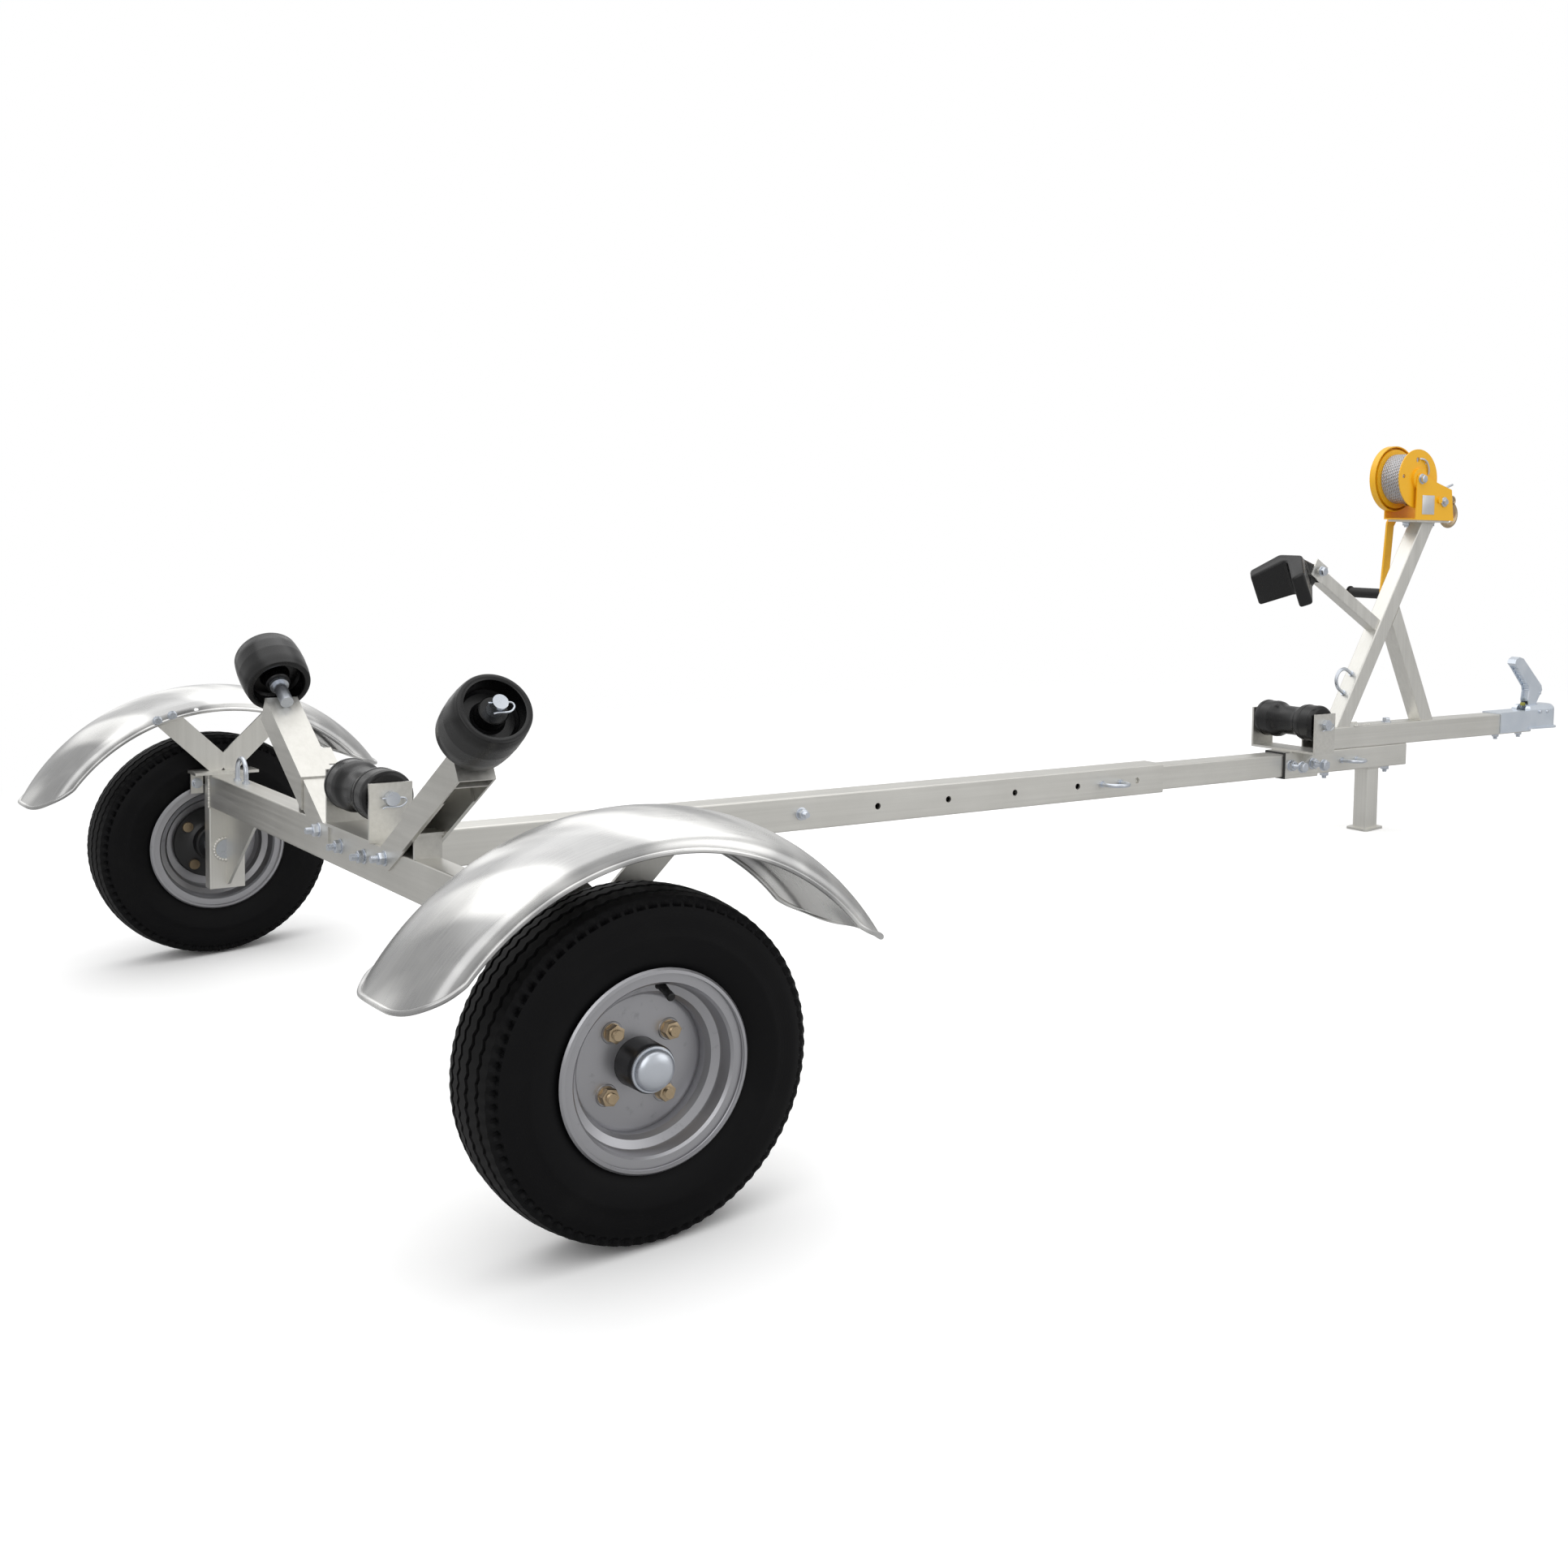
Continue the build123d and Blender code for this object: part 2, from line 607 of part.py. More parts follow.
def guard_end(angle):
    """What one end of the mudguard is cut from: rounded in plan, with its flanks cut back below."""
    reach, width = GUARD_CROWN_RADIUS, GUARD_HALF_WIDTH + 2 * GUARD_BEAD
    blank = RectangleRounded(4 * reach, 2 * width, GUARD_CORNER)
    body = Pos(-2 * reach, 0, 0) * extrude(blank, reach + GUARD_SKIN)
    slant = math.degrees(math.atan2(GUARD_END_SLANT, GUARD_DEPTH))
    cut = block(0, reach, -width, width, -reach, reach)
    body -= Pos(0, 0, reach) * Rot(0, slant, 0) * cut
    return Rot(0, angle, 0) * body


def mudguard(lean):
    """A long arched mudguard over the left wheel, leaning back a little, with rolled edges."""
    halves = []
    for angle in (GUARD_FRONT_ANGLE, GUARD_REAR_ANGLE):
        arch = Rot(0, -90, 0) * revolve(guard_section(), Axis.Y, angle)
        halves.append(arch & guard_end(angle))
    guard = halves[0] + mirror(halves[1], Plane.YZ)
    guard = Pos(GUARD_FORWARD, 0, -GUARD_DROP) * Rot(0, -lean, 0) * guard
    inner, outer = -GUARD_HALF_WIDTH + 2 * GUARD_SKIN, -GUARD_HALF_WIDTH - 2 * GUARD_BEAD
    for angle in guard_bolts() + [-GUARD_HOLE_ANGLE]:
        x, z = guard_point(angle, GUARD_BOLT_CIRCLE)
        guard -= rod_y(x, z, inner, outer, GUARD_BOLT_RADIUS)
    return Pos(0, HALF_TRACK, 0) * guard


def guard_bolts():
    """The angles, about the mudguard's centre, of the bolts that hold its inner edge to the stays."""
    turn, root = math.radians(STAY_ANGLE), GUARD_SEAT + STAY_ROOT + GUARD_DROP
    run = math.sqrt(GUARD_BOLT_CIRCLE**2 - (root * math.sin(turn)) ** 2) - root * math.cos(turn)
    lean = math.degrees(math.asin(run * math.sin(turn) / GUARD_BOLT_CIRCLE)) + GUARD_BOLT_OUT
    step = math.degrees(STAY_WIDTH / 3 / GUARD_BOLT_CIRCLE)
    return [side * (lean + shift * step) for side in (1, -1) for shift in (-1, 1)]


def mudguard_bracket():
    """The left mudguard's bracket: a plate on the upright, a bolted tab and two stays in a V."""
    inner = HALF_TRACK - GUARD_HALF_WIDTH + GUARD_SKIN + STAY_FIT
    half = GUARD_PLATE_LENGTH / 2
    plate = block(-half, half, GUARD_PLATE_OUT - GUARD_PLATE_WIDTH, GUARD_PLATE_OUT, DRAWBAR_TOP, GUARD_SEAT)
    tab_in, tab_rear, tab_front = GUARD_PLATE_OUT - GUARD_PLATE, TAB_INSET - half, BEAM_REAR - TAB_GAP
    plate += block(tab_rear, tab_front, tab_in, GUARD_PLATE_OUT, DRAWBAR_TOP - TAB_DROP, DRAWBAR_TOP)
    bolt_x, bolt_z = (tab_rear + tab_front) / 2, DRAWBAR_TOP - TAB_DROP / 2
    plate -= rod_y(bolt_x, bolt_z, tab_in - PAST, GUARD_PLATE_OUT + PAST, TAB_BOLT_RADIUS)
    turn = math.radians(STAY_ANGLE)
    stays = None
    for side in (1, -1):
        start = (0, GUARD_SEAT + STAY_ROOT)
        length = GUARD_EDGE_RADIUS
        run = (side * math.sin(turn) * length, math.cos(turn) * length)
        off = (side * math.cos(turn) * STAY_WIDTH / 2, -math.sin(turn) * STAY_WIDTH / 2)
        stay = plate_y([
            (start[0] - off[0], start[1] - off[1]), (start[0] + off[0], start[1] + off[1]),
            (start[0] + off[0] + run[0], start[1] + off[1] + run[1]),
            (start[0] - off[0] + run[0], start[1] - off[1] + run[1]),
        ], inner, inner + STAY_THICK)
        stays = stay if stays is None else stays + stay
    limit = GUARD_BOLT_CIRCLE + STAY_BEYOND
    stays &= rod_y(GUARD_FORWARD, -GUARD_DROP, inner - PAST, inner + STAY_THICK + PAST, limit)
    stays &= guard_room()
    stays &= block(-limit, limit, inner - PAST, inner + STAY_THICK + PAST, GUARD_SEAT, limit)
    for angle in guard_bolts():
        x, z = guard_point(angle, GUARD_BOLT_CIRCLE)
        stays -= rod_y(x, z, inner - PAST, inner + STAY_THICK + PAST, GUARD_BOLT_RADIUS)
    return plate + stays


# ---- rollers and their brackets ----
def keel_bracket(x, base):
    """A wide U bracket for a keel roller, standing on a base height."""
    x0, x1 = x - BRACKET_LENGTH / 2, x + BRACKET_LENGTH / 2
    body = block(x0, x1, -KEEL_PLATE_OUT, KEEL_PLATE_OUT, base, base + BRACKET_RISE)
    floor, top = base + BRACKET_PLATE, base + BRACKET_RISE
    body -= block(x0 - PAST, x1 + PAST, -KEEL_PLATE_IN, KEEL_PLATE_IN, floor, top + PAST)
    pin_z = base + BRACKET_RISE - PIN_BELOW_TOP
    return body - rod_y(x, pin_z, -KEEL_PLATE_OUT - PAST, KEEL_PLATE_OUT + PAST, PIN_RADIUS + PIN_FIT)


def keel_pin(x, base):
    """The pin through a keel roller's bracket."""
    end = KEEL_PLATE_OUT + PIN_PROUD
    return rod_y(x, base + BRACKET_RISE - PIN_BELOW_TOP, -end, end, PIN_RADIUS)


def keel_roller(x, base):
    """A waisted rubber roller on the keel pin."""
    bore = PIN_RADIUS + PIN_FIT
    half = [
        (KEEL_WAIST, KEEL_WAIST_RADIUS), (KEEL_SHOULDER, KEEL_RADIUS),
        (KEEL_HALF_LENGTH - KEEL_ROUND, KEEL_RADIUS), (KEEL_HALF_LENGTH, KEEL_RADIUS - KEEL_ROUND),
        (KEEL_HALF_LENGTH, bore),
    ]
    outline = half + [(-across, radius) for across, radius in half[::-1]]
    return Pos(x, 0, base + BRACKET_RISE - PIN_BELOW_TOP) * turned(outline)


def on_arm(solid):
    """Moves a piece from the arm's own frame (X up the arm, Y out of its face) to the left arm."""
    turn = math.radians(ARM_ANGLE)
    frame = Plane(
        origin=(BEAM_X, ARM_TOP_Y, ARM_TOP_Z), x_dir=(0, math.cos(turn), math.sin(turn)), z_dir=(1, 0, 0)
    )
    return frame.location * solid


def arm_channel():
    """The left arm: a channel, open below, that slides on the saddle and carries the roller's pin."""
    bottom = ARM_FACE - ARM_DEPTH
    low = SADDLE_TOP - ARM_FOOT_Y
    half, inside = ARM_WIDTH / 2, ARM_INSIDE / 2
    body = block(low, ARM_TOP, bottom, ARM_FACE, -half, half)
    body -= block(low - PAST, ARM_TOP + PAST, bottom - PAST, ARM_FACE - ARM_WALL, -inside, inside)
    for top in (ARM_TOP, ARM_TOP - ARM_END_PLATE_PITCH):
        body += block(top - ARM_WALL, top, bottom, ARM_FACE - ARM_WALL, -inside, inside)
    body = on_arm(body)
    body -= block(BEAM_X - ARM_WIDTH, BEAM_X + ARM_WIDTH, 0, ARM_FOOT_Y, BEAM_BOTTOM - ARM_FOOT_Y, ARM_TOP_Z)
    foot = (ARM_FOOT_Y - ARM_TOP_Y) / math.cos(math.radians(ARM_ANGLE)) + ARM_DEPTH / 2
    lug = block(foot, foot + ARM_LUG_LENGTH, ARM_FACE - ARM_WALL, ARM_FACE, half, half + ARM_LUG)
    return body + on_arm(lug)


def side_pin():
    """The pin welded along the left arm's top face, with the collar that the roller runs against."""
    pin = Rot(0, 90, 0) * Cylinder(PIN_RADIUS, SIDE_PIN_END + SIDE_PIN_TAIL)
    pin = Pos((SIDE_PIN_END - SIDE_PIN_TAIL) / 2, 0, 0) * pin
    boss = SIDE_ROLLER_START + SIDE_BOSS_SETBACK - COLLAR_GAP
    collar = Pos(boss - PIN_COLLAR / 2, 0, 0) * Rot(0, 90, 0) * Cylinder(PIN_COLLAR_RADIUS, PIN_COLLAR)
    return on_arm(pin + collar)


def side_roller():
    """A crowned rubber roller with an open cup at each end, on the left arm's pin."""
    half = SIDE_LENGTH / 2
    bore = PIN_RADIUS + PIN_FIT
    cup = half - SIDE_CUP_DEPTH
    boss = half - SIDE_BOSS_SETBACK
    with BuildSketch() as section:
        with BuildLine():
            ThreePointArc((-half, SIDE_END_RADIUS), (0, SIDE_CROWN_RADIUS), (half, SIDE_END_RADIUS))
            Polyline(
                (half, SIDE_END_RADIUS), (half, SIDE_CUP_RADIUS), (cup, SIDE_CUP_RADIUS),
                (cup, SIDE_BOSS_RADIUS),
                (boss, SIDE_BOSS_RADIUS), (boss, bore), (-boss, bore), (-boss, SIDE_BOSS_RADIUS),
                (-cup, SIDE_BOSS_RADIUS), (-cup, SIDE_CUP_RADIUS), (-half, SIDE_CUP_RADIUS),
                (-half, SIDE_END_RADIUS),
            )
        make_face()
    return on_arm(Pos(SIDE_ROLLER_START + half, 0, 0) * revolve(section.sketch, Axis.X))


def arm_saddle():
    """The left saddle: a channel welded over the beam, whose skirts come down its two faces."""
    turn = math.radians(ARM_ANGLE)
    face = ARM_FACE - ARM_WALL - ARM_SLIDE_CLEARANCE

    def place(up, out):
        """A (y, z) point from the arm's own frame."""
        return (
            ARM_TOP_Y + up * math.cos(turn) - out * math.sin(turn),
            ARM_TOP_Z + up * math.sin(turn) + out * math.cos(turn),
        )

    def up_at(height, out):
        """How far up the arm a line at that depth meets a height."""
        return (height - ARM_TOP_Z - out * math.cos(turn)) / math.sin(turn)

    low, skirt = ARM_FACE - ARM_DEPTH, DRAWBAR_TOP - SADDLE_SKIRT
    foot = place(up_at(DRAWBAR_TOP, face), face)
    outline = [
        foot, (SADDLE_INNER_Y, DRAWBAR_TOP), (SADDLE_INNER_Y, skirt), place(up_at(skirt, low), low),
        place(SADDLE_TOP, low), place(SADDLE_TOP, face),
    ]
    side = make_face(Polyline(outline, close=True))
    half = SADDLE_WIDTH / 2
    body = Pos(BEAM_X - half, 0, 0) * extrude(Plane.YZ * side, SADDLE_WIDTH)
    inside = BEAM_WIDTH / 2
    hollow = on_arm(block(
        SADDLE_TOP - ARM_FOOT_Y * 2, SADDLE_TOP + PAST,
        face - ARM_DEPTH * 2, face - SADDLE_WALL, -inside, inside
    ))
    body -= hollow
    return body - block(BEAM_X - inside, BEAM_X + inside, 0, ARM_FOOT_Y, skirt - PAST, DRAWBAR_TOP)


def arm_cleat():
    """The left angle cleat between the beam's top and the inside of the saddle."""
    x0, x1 = BEAM_REAR + CLEAT_FIT, BEAM_FRONT - CLEAT_FIT
    top = DRAWBAR_TOP + CLEAT_HEIGHT
    upright_leg = block(x0, x1, CLEAT_Y - CLEAT_PLATE, CLEAT_Y, DRAWBAR_TOP, top)
    flange = block(x0, x1, CLEAT_Y - CLEAT_FLANGE, CLEAT_Y + CLEAT_OVERHANG, top - CLEAT_PLATE, top)
    return upright_leg + flange


# ---- drawbar ----
def drawbar_outer():
    """The outer drawbar tube, with its row of adjusting holes and the locking bolt's hole."""
    tube = square_tube(DRAWBAR_SIZE, DRAWBAR_SIZE, DRAWBAR_FRONT - BEAM_FRONT, DRAWBAR_WALL)
    tube = Pos(BEAM_FRONT, 0, DRAWBAR_Z) * tube
    half = DRAWBAR_SIZE / 2 + 1
    places = [ADJUST_FIRST + ADJUST_PITCH * step for step in range(ADJUST_COUNT)] + [LOCK_BOLT_X]
    for x in places:
        tube -= rod_y(x, DRAWBAR_Z, -half, half, ADJUST_HOLE_RADIUS)
    return tube


def drawbar_inner():
    """The inner tube that slides in the outer one and runs on under the winch post."""
    rear = DRAWBAR_FRONT - DRAWBAR_OVERLAP
    return Pos(rear, 0, DRAWBAR_Z) * square_tube(TUBE_SIZE, TUBE_SIZE, INNER_FRONT - rear, TUBE_WALL)


def drawbar_upper():
    """The upper tube on top of the inner one, forward to the coupling."""
    length = UPPER_FRONT - UPPER_REAR
    return Pos(UPPER_REAR, 0, UPPER_Z) * square_tube(TUBE_SIZE, TUBE_SIZE, length, TUBE_WALL)


def clamp_sleeve():
    """The sleeve that carries the front keel roller's bracket on the inner tube, with its clamp bolts."""
    half = SLEEVE_SIZE / 2
    tube = square_tube(SLEEVE_SIZE, SLEEVE_SIZE, SLEEVE_LENGTH, SLEEVE_WALL)
    body = Pos(SLEEVE_X - SLEEVE_LENGTH / 2, 0, DRAWBAR_Z) * tube
    for step in (-1, 1):
        x = SLEEVE_X + step * SLEEVE_BOLT_PITCH / 2
        body += Pos(x, -half, DRAWBAR_Z) * Rot(90, 0, 0) * hex_nut(SLEEVE_NUT_ACROSS, SLEEVE_NUT, 0)
        head = -half - SLEEVE_BOLT_LENGTH
        body += rod_y(x, DRAWBAR_Z, head, -TUBE_SIZE / 2, SLEEVE_BOLT_RADIUS)
        body += Pos(x, head, DRAWBAR_Z) * Rot(90, 0, 0) * hex_nut(SLEEVE_NUT_ACROSS, SLEEVE_NUT, 0)
    web = make_face(Polyline([
        (half, SLEEVE_TOP), (half + SLEEVE_GUSSET, SLEEVE_TOP), (half, SLEEVE_TOP - SLEEVE_GUSSET),
    ], close=True))
    gusset = Pos(SLEEVE_X - BRACKET_PLATE / 2, 0, 0) * extrude(Plane.YZ * web, BRACKET_PLATE)
    return body + gusset + mirrored(gusset)


def stand_leg():
    """The fixed front leg. Its foot plate is level on the floor when the trailer is parked."""
    post = Pos(LEG_X, 0, TUBE_BOTTOM) * Rot(0, 90, 0) * square_tube(LEG_SIZE, LEG_SIZE, LEG_DROP, LEG_WALL)
    foot = RectangleRounded(FOOT_SIZE, FOOT_SIZE, FOOT_CORNER)
    level = Pos(LEG_X, 0, LEG_FOOT_Z) * Rot(0, -PARK_ANGLE, 0)
    post -= level * Pos(0, 0, FOOT_PLATE - LEG_SIZE) * Box(FOOT_SIZE, FOOT_SIZE, 2 * LEG_SIZE)
    return post + level * extrude(foot, FOOT_PLATE)


# ---- winch post and bow arm ----
def slanted_tube(x, z, angle, length, size, wall):
    """A square tube from a chassis (x, z) place, rising at an angle from the X axis."""
    return Pos(x, 0, z) * Rot(0, -angle, 0) * square_tube(size, size, length, wall)


def post_line(height):
    """The X place of the post's middle at a height."""
    return POST_X + (height - UPPER_TOP) / math.tan(math.radians(POST_ANGLE))


def beyond(z0, z1):
    """A block across the whole front of the chassis between two heights."""
    return block(POST_X - POST_TOP, UPPER_FRONT, -POST_SIZE, POST_SIZE, z0, z1)


def winch_post():
    """The leaning post from the upper tube to the winch plate, cut level at both ends."""
    start = UPPER_TOP - POST_SIZE
    length = (POST_TOP - start + POST_SIZE) / math.sin(math.radians(POST_ANGLE))
    tube = slanted_tube(post_line(start), start, POST_ANGLE, length, POST_SIZE, TUBE_WALL)
    return tube & beyond(UPPER_TOP, POST_TOP)


def post_solid(length):
    """A solid bar over the post's own outline, to trim what meets it."""
    start = UPPER_TOP - POST_SIZE
    bar = Box(length, POST_SIZE, POST_SIZE, align=(Align.MIN, Align.CENTER, Align.CENTER))
    return Pos(post_line(start), 0, start) * Rot(0, -POST_ANGLE, 0) * bar


def winch_brace():
    """The brace from the upper tube back to the front of the post."""
    start = UPPER_TOP - BRACE_SIZE
    x = BRACE_X + BRACE_SIZE / math.tan(math.radians(BRACE_ANGLE))
    brace = slanted_tube(x, start, 180 - BRACE_ANGLE, POST_TOP - UPPER_TOP, BRACE_SIZE, TUBE_WALL)
    behind = Pos(0, 0, POST_SIZE) * post_solid(POST_TOP)
    brace &= beyond(UPPER_TOP, POST_TOP)
    brace -= post_solid(POST_TOP)
    return max((brace - behind).solids(), key=lambda solid: solid.volume)


def bow_arm():
    """The arm from the back of the post to the bow stop, with the U bracket at its end."""
    turn = BOW_ARM_ANGLE
    run = post_line(BOW_ARM_END_Z) - BOW_ARM_END_X
    arm = Pos(BOW_ARM_END_X, 0, BOW_ARM_END_Z) * Rot(0, turn, 0)
    tube = arm * square_tube(BOW_ARM_SIZE, BOW_ARM_SIZE, run, TUBE_WALL)
    tube -= post_solid(POST_TOP)
    tube = max(tube.solids(), key=lambda solid: -solid.center().X)
    outer = BOW_BRACKET_IN + BOW_BRACKET_PLATE
    half = BOW_BRACKET / 2
    fork = block(-BOW_BRACKET, 0, -outer, outer, -half, half)
    fork -= block(
        -BOW_BRACKET - PAST, -BOW_BRACKET_PLATE, -BOW_BRACKET_IN, BOW_BRACKET_IN, -half - PAST, half + PAST
    )
    bolt = outer + BOW_BRACKET_PLATE
    fork += rod_y(-BOW_PIVOT_FORWARD, 0, -bolt, bolt, BOW_BOLT_RADIUS)
    return tube + arm * fork


def bow_stop():
    """The rubber V that the bow rests in, on the bracket's bolt, facing back and a little down."""
    plan = make_face(Polyline([
        (0, -BOW_BOSS_HALF), (BOW_SHOULDER, -BOW_BOSS_HALF), (BOW_WING_BACK, -BOW_TIP_OUTER),
        (BOW_WING_TIP, -BOW_TIP_INNER), (BOW_CROTCH, 0), (BOW_WING_TIP, BOW_TIP_INNER),
        (BOW_WING_BACK, BOW_TIP_OUTER), (BOW_SHOULDER, BOW_BOSS_HALF), (0, BOW_BOSS_HALF),
    ], close=True))
    side = plate_y([
        (0, -BOW_BOSS_RADIUS), (BOW_LOW_START, BOW_LOW), (BOW_WING_BACK, BOW_LOW),
        (BOW_WING_TIP, BOW_TIP_LOW),
        (BOW_WING_TIP, BOW_TIP_HIGH), (BOW_HIGH_END, BOW_HIGH), (0, BOW_BOSS_RADIUS),
    ], -BOW_TIP_OUTER - PAST, BOW_TIP_OUTER + PAST)
    stop = side & (Pos(0, 0, BOW_LOW - PAST) * extrude(plan, BOW_HIGH - BOW_LOW + 2 * PAST))
    stop += rod_y(0, 0, -BOW_BOSS_HALF, BOW_BOSS_HALF, BOW_BOSS_RADIUS)
    stop -= rod_y(0, 0, -BOW_TIP_OUTER, BOW_TIP_OUTER, BOW_BOLT_RADIUS + BOW_BOLT_FIT)
    return Pos(BOW_PIVOT_X, 0, BOW_PIVOT_Z) * Rot(0, -BOW_TILT, 0) * Rot(0, 0, 180) * stop


# ---- winch ----
def winch_mount():
    """The plate on the post's top that the winch is bolted to."""
    x = WINCH_REAR + WINCH_LENGTH / 2
    half = WINCH_PLATE_WIDTH / 2
    reach = WINCH_PLATE_LENGTH / 2
    return block(x - reach, x + reach, -half, half, POST_TOP, WINCH_FLOOR)


def winch_frame():
    """The winch's folded frame: a base and two side plates, with the drum's bolt through them."""
    x0, x1 = WINCH_REAR, WINCH_REAR + WINCH_LENGTH
    outer, floor = WINCH_HALF_WIDTH, WINCH_FLOOR
    body = block(x0, x1, -outer, outer, floor, floor + WINCH_SHEET)
    side = [(x0 + forward, floor + height) for forward, height in WINCH_SIDE]
    for y in (-outer, outer - WINCH_SHEET):
        body += plate_y(side, y, y + WINCH_SHEET)
    body += rod_y(DRUM_X, DRUM_Z, -outer, outer, DRUM_BORE)
    return body - rod_y(PINION_X, PINION_Z, -outer - PAST, outer + PAST, PINION_SHAFT + SHAFT_FIT)


def winch_cover():
    """The rimmed cover over the drum's gear, on the far side plate, open where the pinion runs."""
    y1 = WINCH_HALF_WIDTH - WINCH_SHEET
    y0 = y1 - COVER_RIM
    cup = rod_y(DRUM_X, DRUM_Z, y0, y1, COVER_RADIUS)
    cup -= rod_y(DRUM_X, DRUM_Z, y0 - PAST, y1 - COVER_SHEET, COVER_RADIUS - COVER_SHEET)
    cup -= rod_y(DRUM_X, DRUM_Z, y0, y1 + PAST, DRUM_BORE + DRUM_FIT)
    cup -= rod_y(PINION_X, PINION_Z, y0 - PAST, y1 + PAST, PINION_RADIUS + COVER_WINDOW)
    rear, front = WINCH_REAR - COVER_RADIUS, DRUM_X + COVER_RADIUS
    return cup - block(rear, front, y0 - PAST, y1 + PAST, 0, WINCH_FLOOR + WINCH_SHEET)


def winch_drum():
    """The drum: a core, the drilled near flange and the gear that is its far flange."""
    bore = DRUM_BORE + DRUM_FIT
    y0, y1 = NEAR_FLANGE_Y, GEAR_Y + GEAR_THICK
    end = WINCH_HALF_WIDTH - WINCH_SHEET - DRUM_END_GAP
    drum = rod_y(DRUM_X, DRUM_Z, -end, y1, DRUM_CORE_RADIUS)
    drum += rod_y(DRUM_X, DRUM_Z, y0, y0 + FLANGE_SHEET, FLANGE_RADIUS)
    drum += rod_y(DRUM_X, DRUM_Z, GEAR_Y, y1, GEAR_RADIUS)
    for radius, angle, hole in FLANGE_HOLES:
        x = DRUM_X + radius * math.cos(math.radians(angle))
        z = DRUM_Z + radius * math.sin(math.radians(angle))
        drum -= rod_y(x, z, y0 - PAST, y0 + FLANGE_SHEET + PAST, hole)
    return drum - rod_y(DRUM_X, DRUM_Z, -end - PAST, y1 + PAST, bore)


def winch_cable():
    """The wire rope wound on the drum, its outer layer shaped turn by turn."""
    y0, y1 = NEAR_FLANGE_Y + FLANGE_SHEET, GEAR_Y
    turns = int((y1 - y0) / (2 * CABLE_RADIUS))
    pitch = (y1 - y0) / turns
    groove = CABLE_WOUND_RADIUS - CABLE_RADIUS
    with BuildSketch() as section:
        with BuildLine():
            for turn in range(turns):
                left = y0 + turn * pitch
                ThreePointArc(
                    (groove, left), (CABLE_WOUND_RADIUS, left + pitch / 2), (groove, left + pitch)
                )
            Polyline((groove, y1), (DRUM_CORE_RADIUS, y1), (DRUM_CORE_RADIUS, y0), (groove, y0))
        make_face()
    return Pos(DRUM_X, 0, DRUM_Z) * revolve(section.sketch, Axis.Y)


def winch_crank():
    """The crank: the pinion on its shaft through both side plates, and the bent flat bar."""
    pinion_y = GEAR_Y + GEAR_THICK / 2
    start = -WINCH_HALF_WIDTH - GUARD_PLATE
    shaft = rod_y(PINION_X, PINION_Z, start, CRANK_Y + CRANK_THICK, PINION_SHAFT)
    reach = PINION_LENGTH / 2
    shaft += rod_y(PINION_X, PINION_Z, pinion_y - reach, pinion_y + reach, PINION_RADIUS)
    places = [(0, 0), CRANK_KNEE, CRANK_END]
    for (x0, z0), (x1, z1) in zip(places, places[1:]):
        length = math.hypot(x1 - x0, z1 - z0)
        turn = math.degrees(math.atan2(z1 - z0, x1 - x0))
        bar = Pos((x0 + x1) / 2, 0, (z0 + z1) / 2) * Rot(0, -turn, 0) * Box(length, CRANK_THICK, CRANK_BAR)
        shaft += Pos(PINION_X, CRANK_Y + CRANK_THICK / 2, PINION_Z) * bar
    for x, z in places:
        shaft += rod_y(PINION_X + x, PINION_Z + z, CRANK_Y, CRANK_Y + CRANK_THICK, CRANK_BAR / 2)
    end = CRANK_Y + CRANK_THICK + GRIP_ROOT + GRIP_LENGTH
    return shaft + rod_y(PINION_X + CRANK_END[0], PINION_Z + CRANK_END[1], CRANK_Y, end, GRIP_BOLT)


def crank_grip():
    """The ribbed grip on the crank's end bolt."""
    start = CRANK_Y + CRANK_THICK + GRIP_ROOT / 2
    end = start + GRIP_LENGTH
    x, z = PINION_X + CRANK_END[0], PINION_Z + CRANK_END[1]
    grip = rod_y(x, z, start, end, GRIP_RADIUS)
    grip += rod_y(x, z, end - GRIP_ROOT, end, GRIP_RADIUS + GRIP_ROOT)
    return grip - rod_y(x, z, start - PAST, end + PAST, GRIP_BOLT + GRIP_FIT)


def winch_hook():
    """The cable's end below the drum, its ferrule and the hook that is parked at the winch's front."""
    drum_low = DRUM_Z - CABLE_WOUND_RADIUS - CABLE_GAP - CABLE_RADIUS
    top = math.radians(HOOK_START)
    eye = (HOOK_X + HOOK_BEND * math.cos(top), HOOK_Z + HOOK_BEND * math.sin(top) + EYE_RADIUS)
    front = WINCH_REAR + WINCH_LENGTH
    route = [
        (DRUM_X, 0, drum_low), (PINION_X, 0, PINION_Z - PINION_SHAFT - CABLE_RADIUS * 2),
        (front, 0, PINION_Z - PINION_SHAFT - CABLE_RADIUS), (eye[0], 0, eye[1]),
    ]
    radii = [TAIL_LIFT * 2, TAIL_LIFT * 2]
    path = FilletPolyline(*route, radius=radii)
    section = Plane(origin=path @ 0, z_dir=path % 0) * Circle(CABLE_RADIUS)
    cable = sweep(section, path)
    ferrule = Plane(origin=path @ 1, z_dir=-(path % 1)) * extrude(Circle(FERRULE_RADIUS), FERRULE)
    bend = CenterArc((HOOK_X, HOOK_Z), HOOK_BEND, HOOK_START, -HOOK_SWEEP)
    bend = Plane.XZ * bend
    hook = sweep(Plane(origin=bend @ 0, z_dir=bend % 0) * Circle(HOOK_WIRE), bend)
    ring = Pos(*((eye[0], 0, eye[1]))) * Rot(90, 0, 0) * Torus(EYE_RADIUS, HOOK_WIRE / 2)
    return cable + ferrule + hook + ring


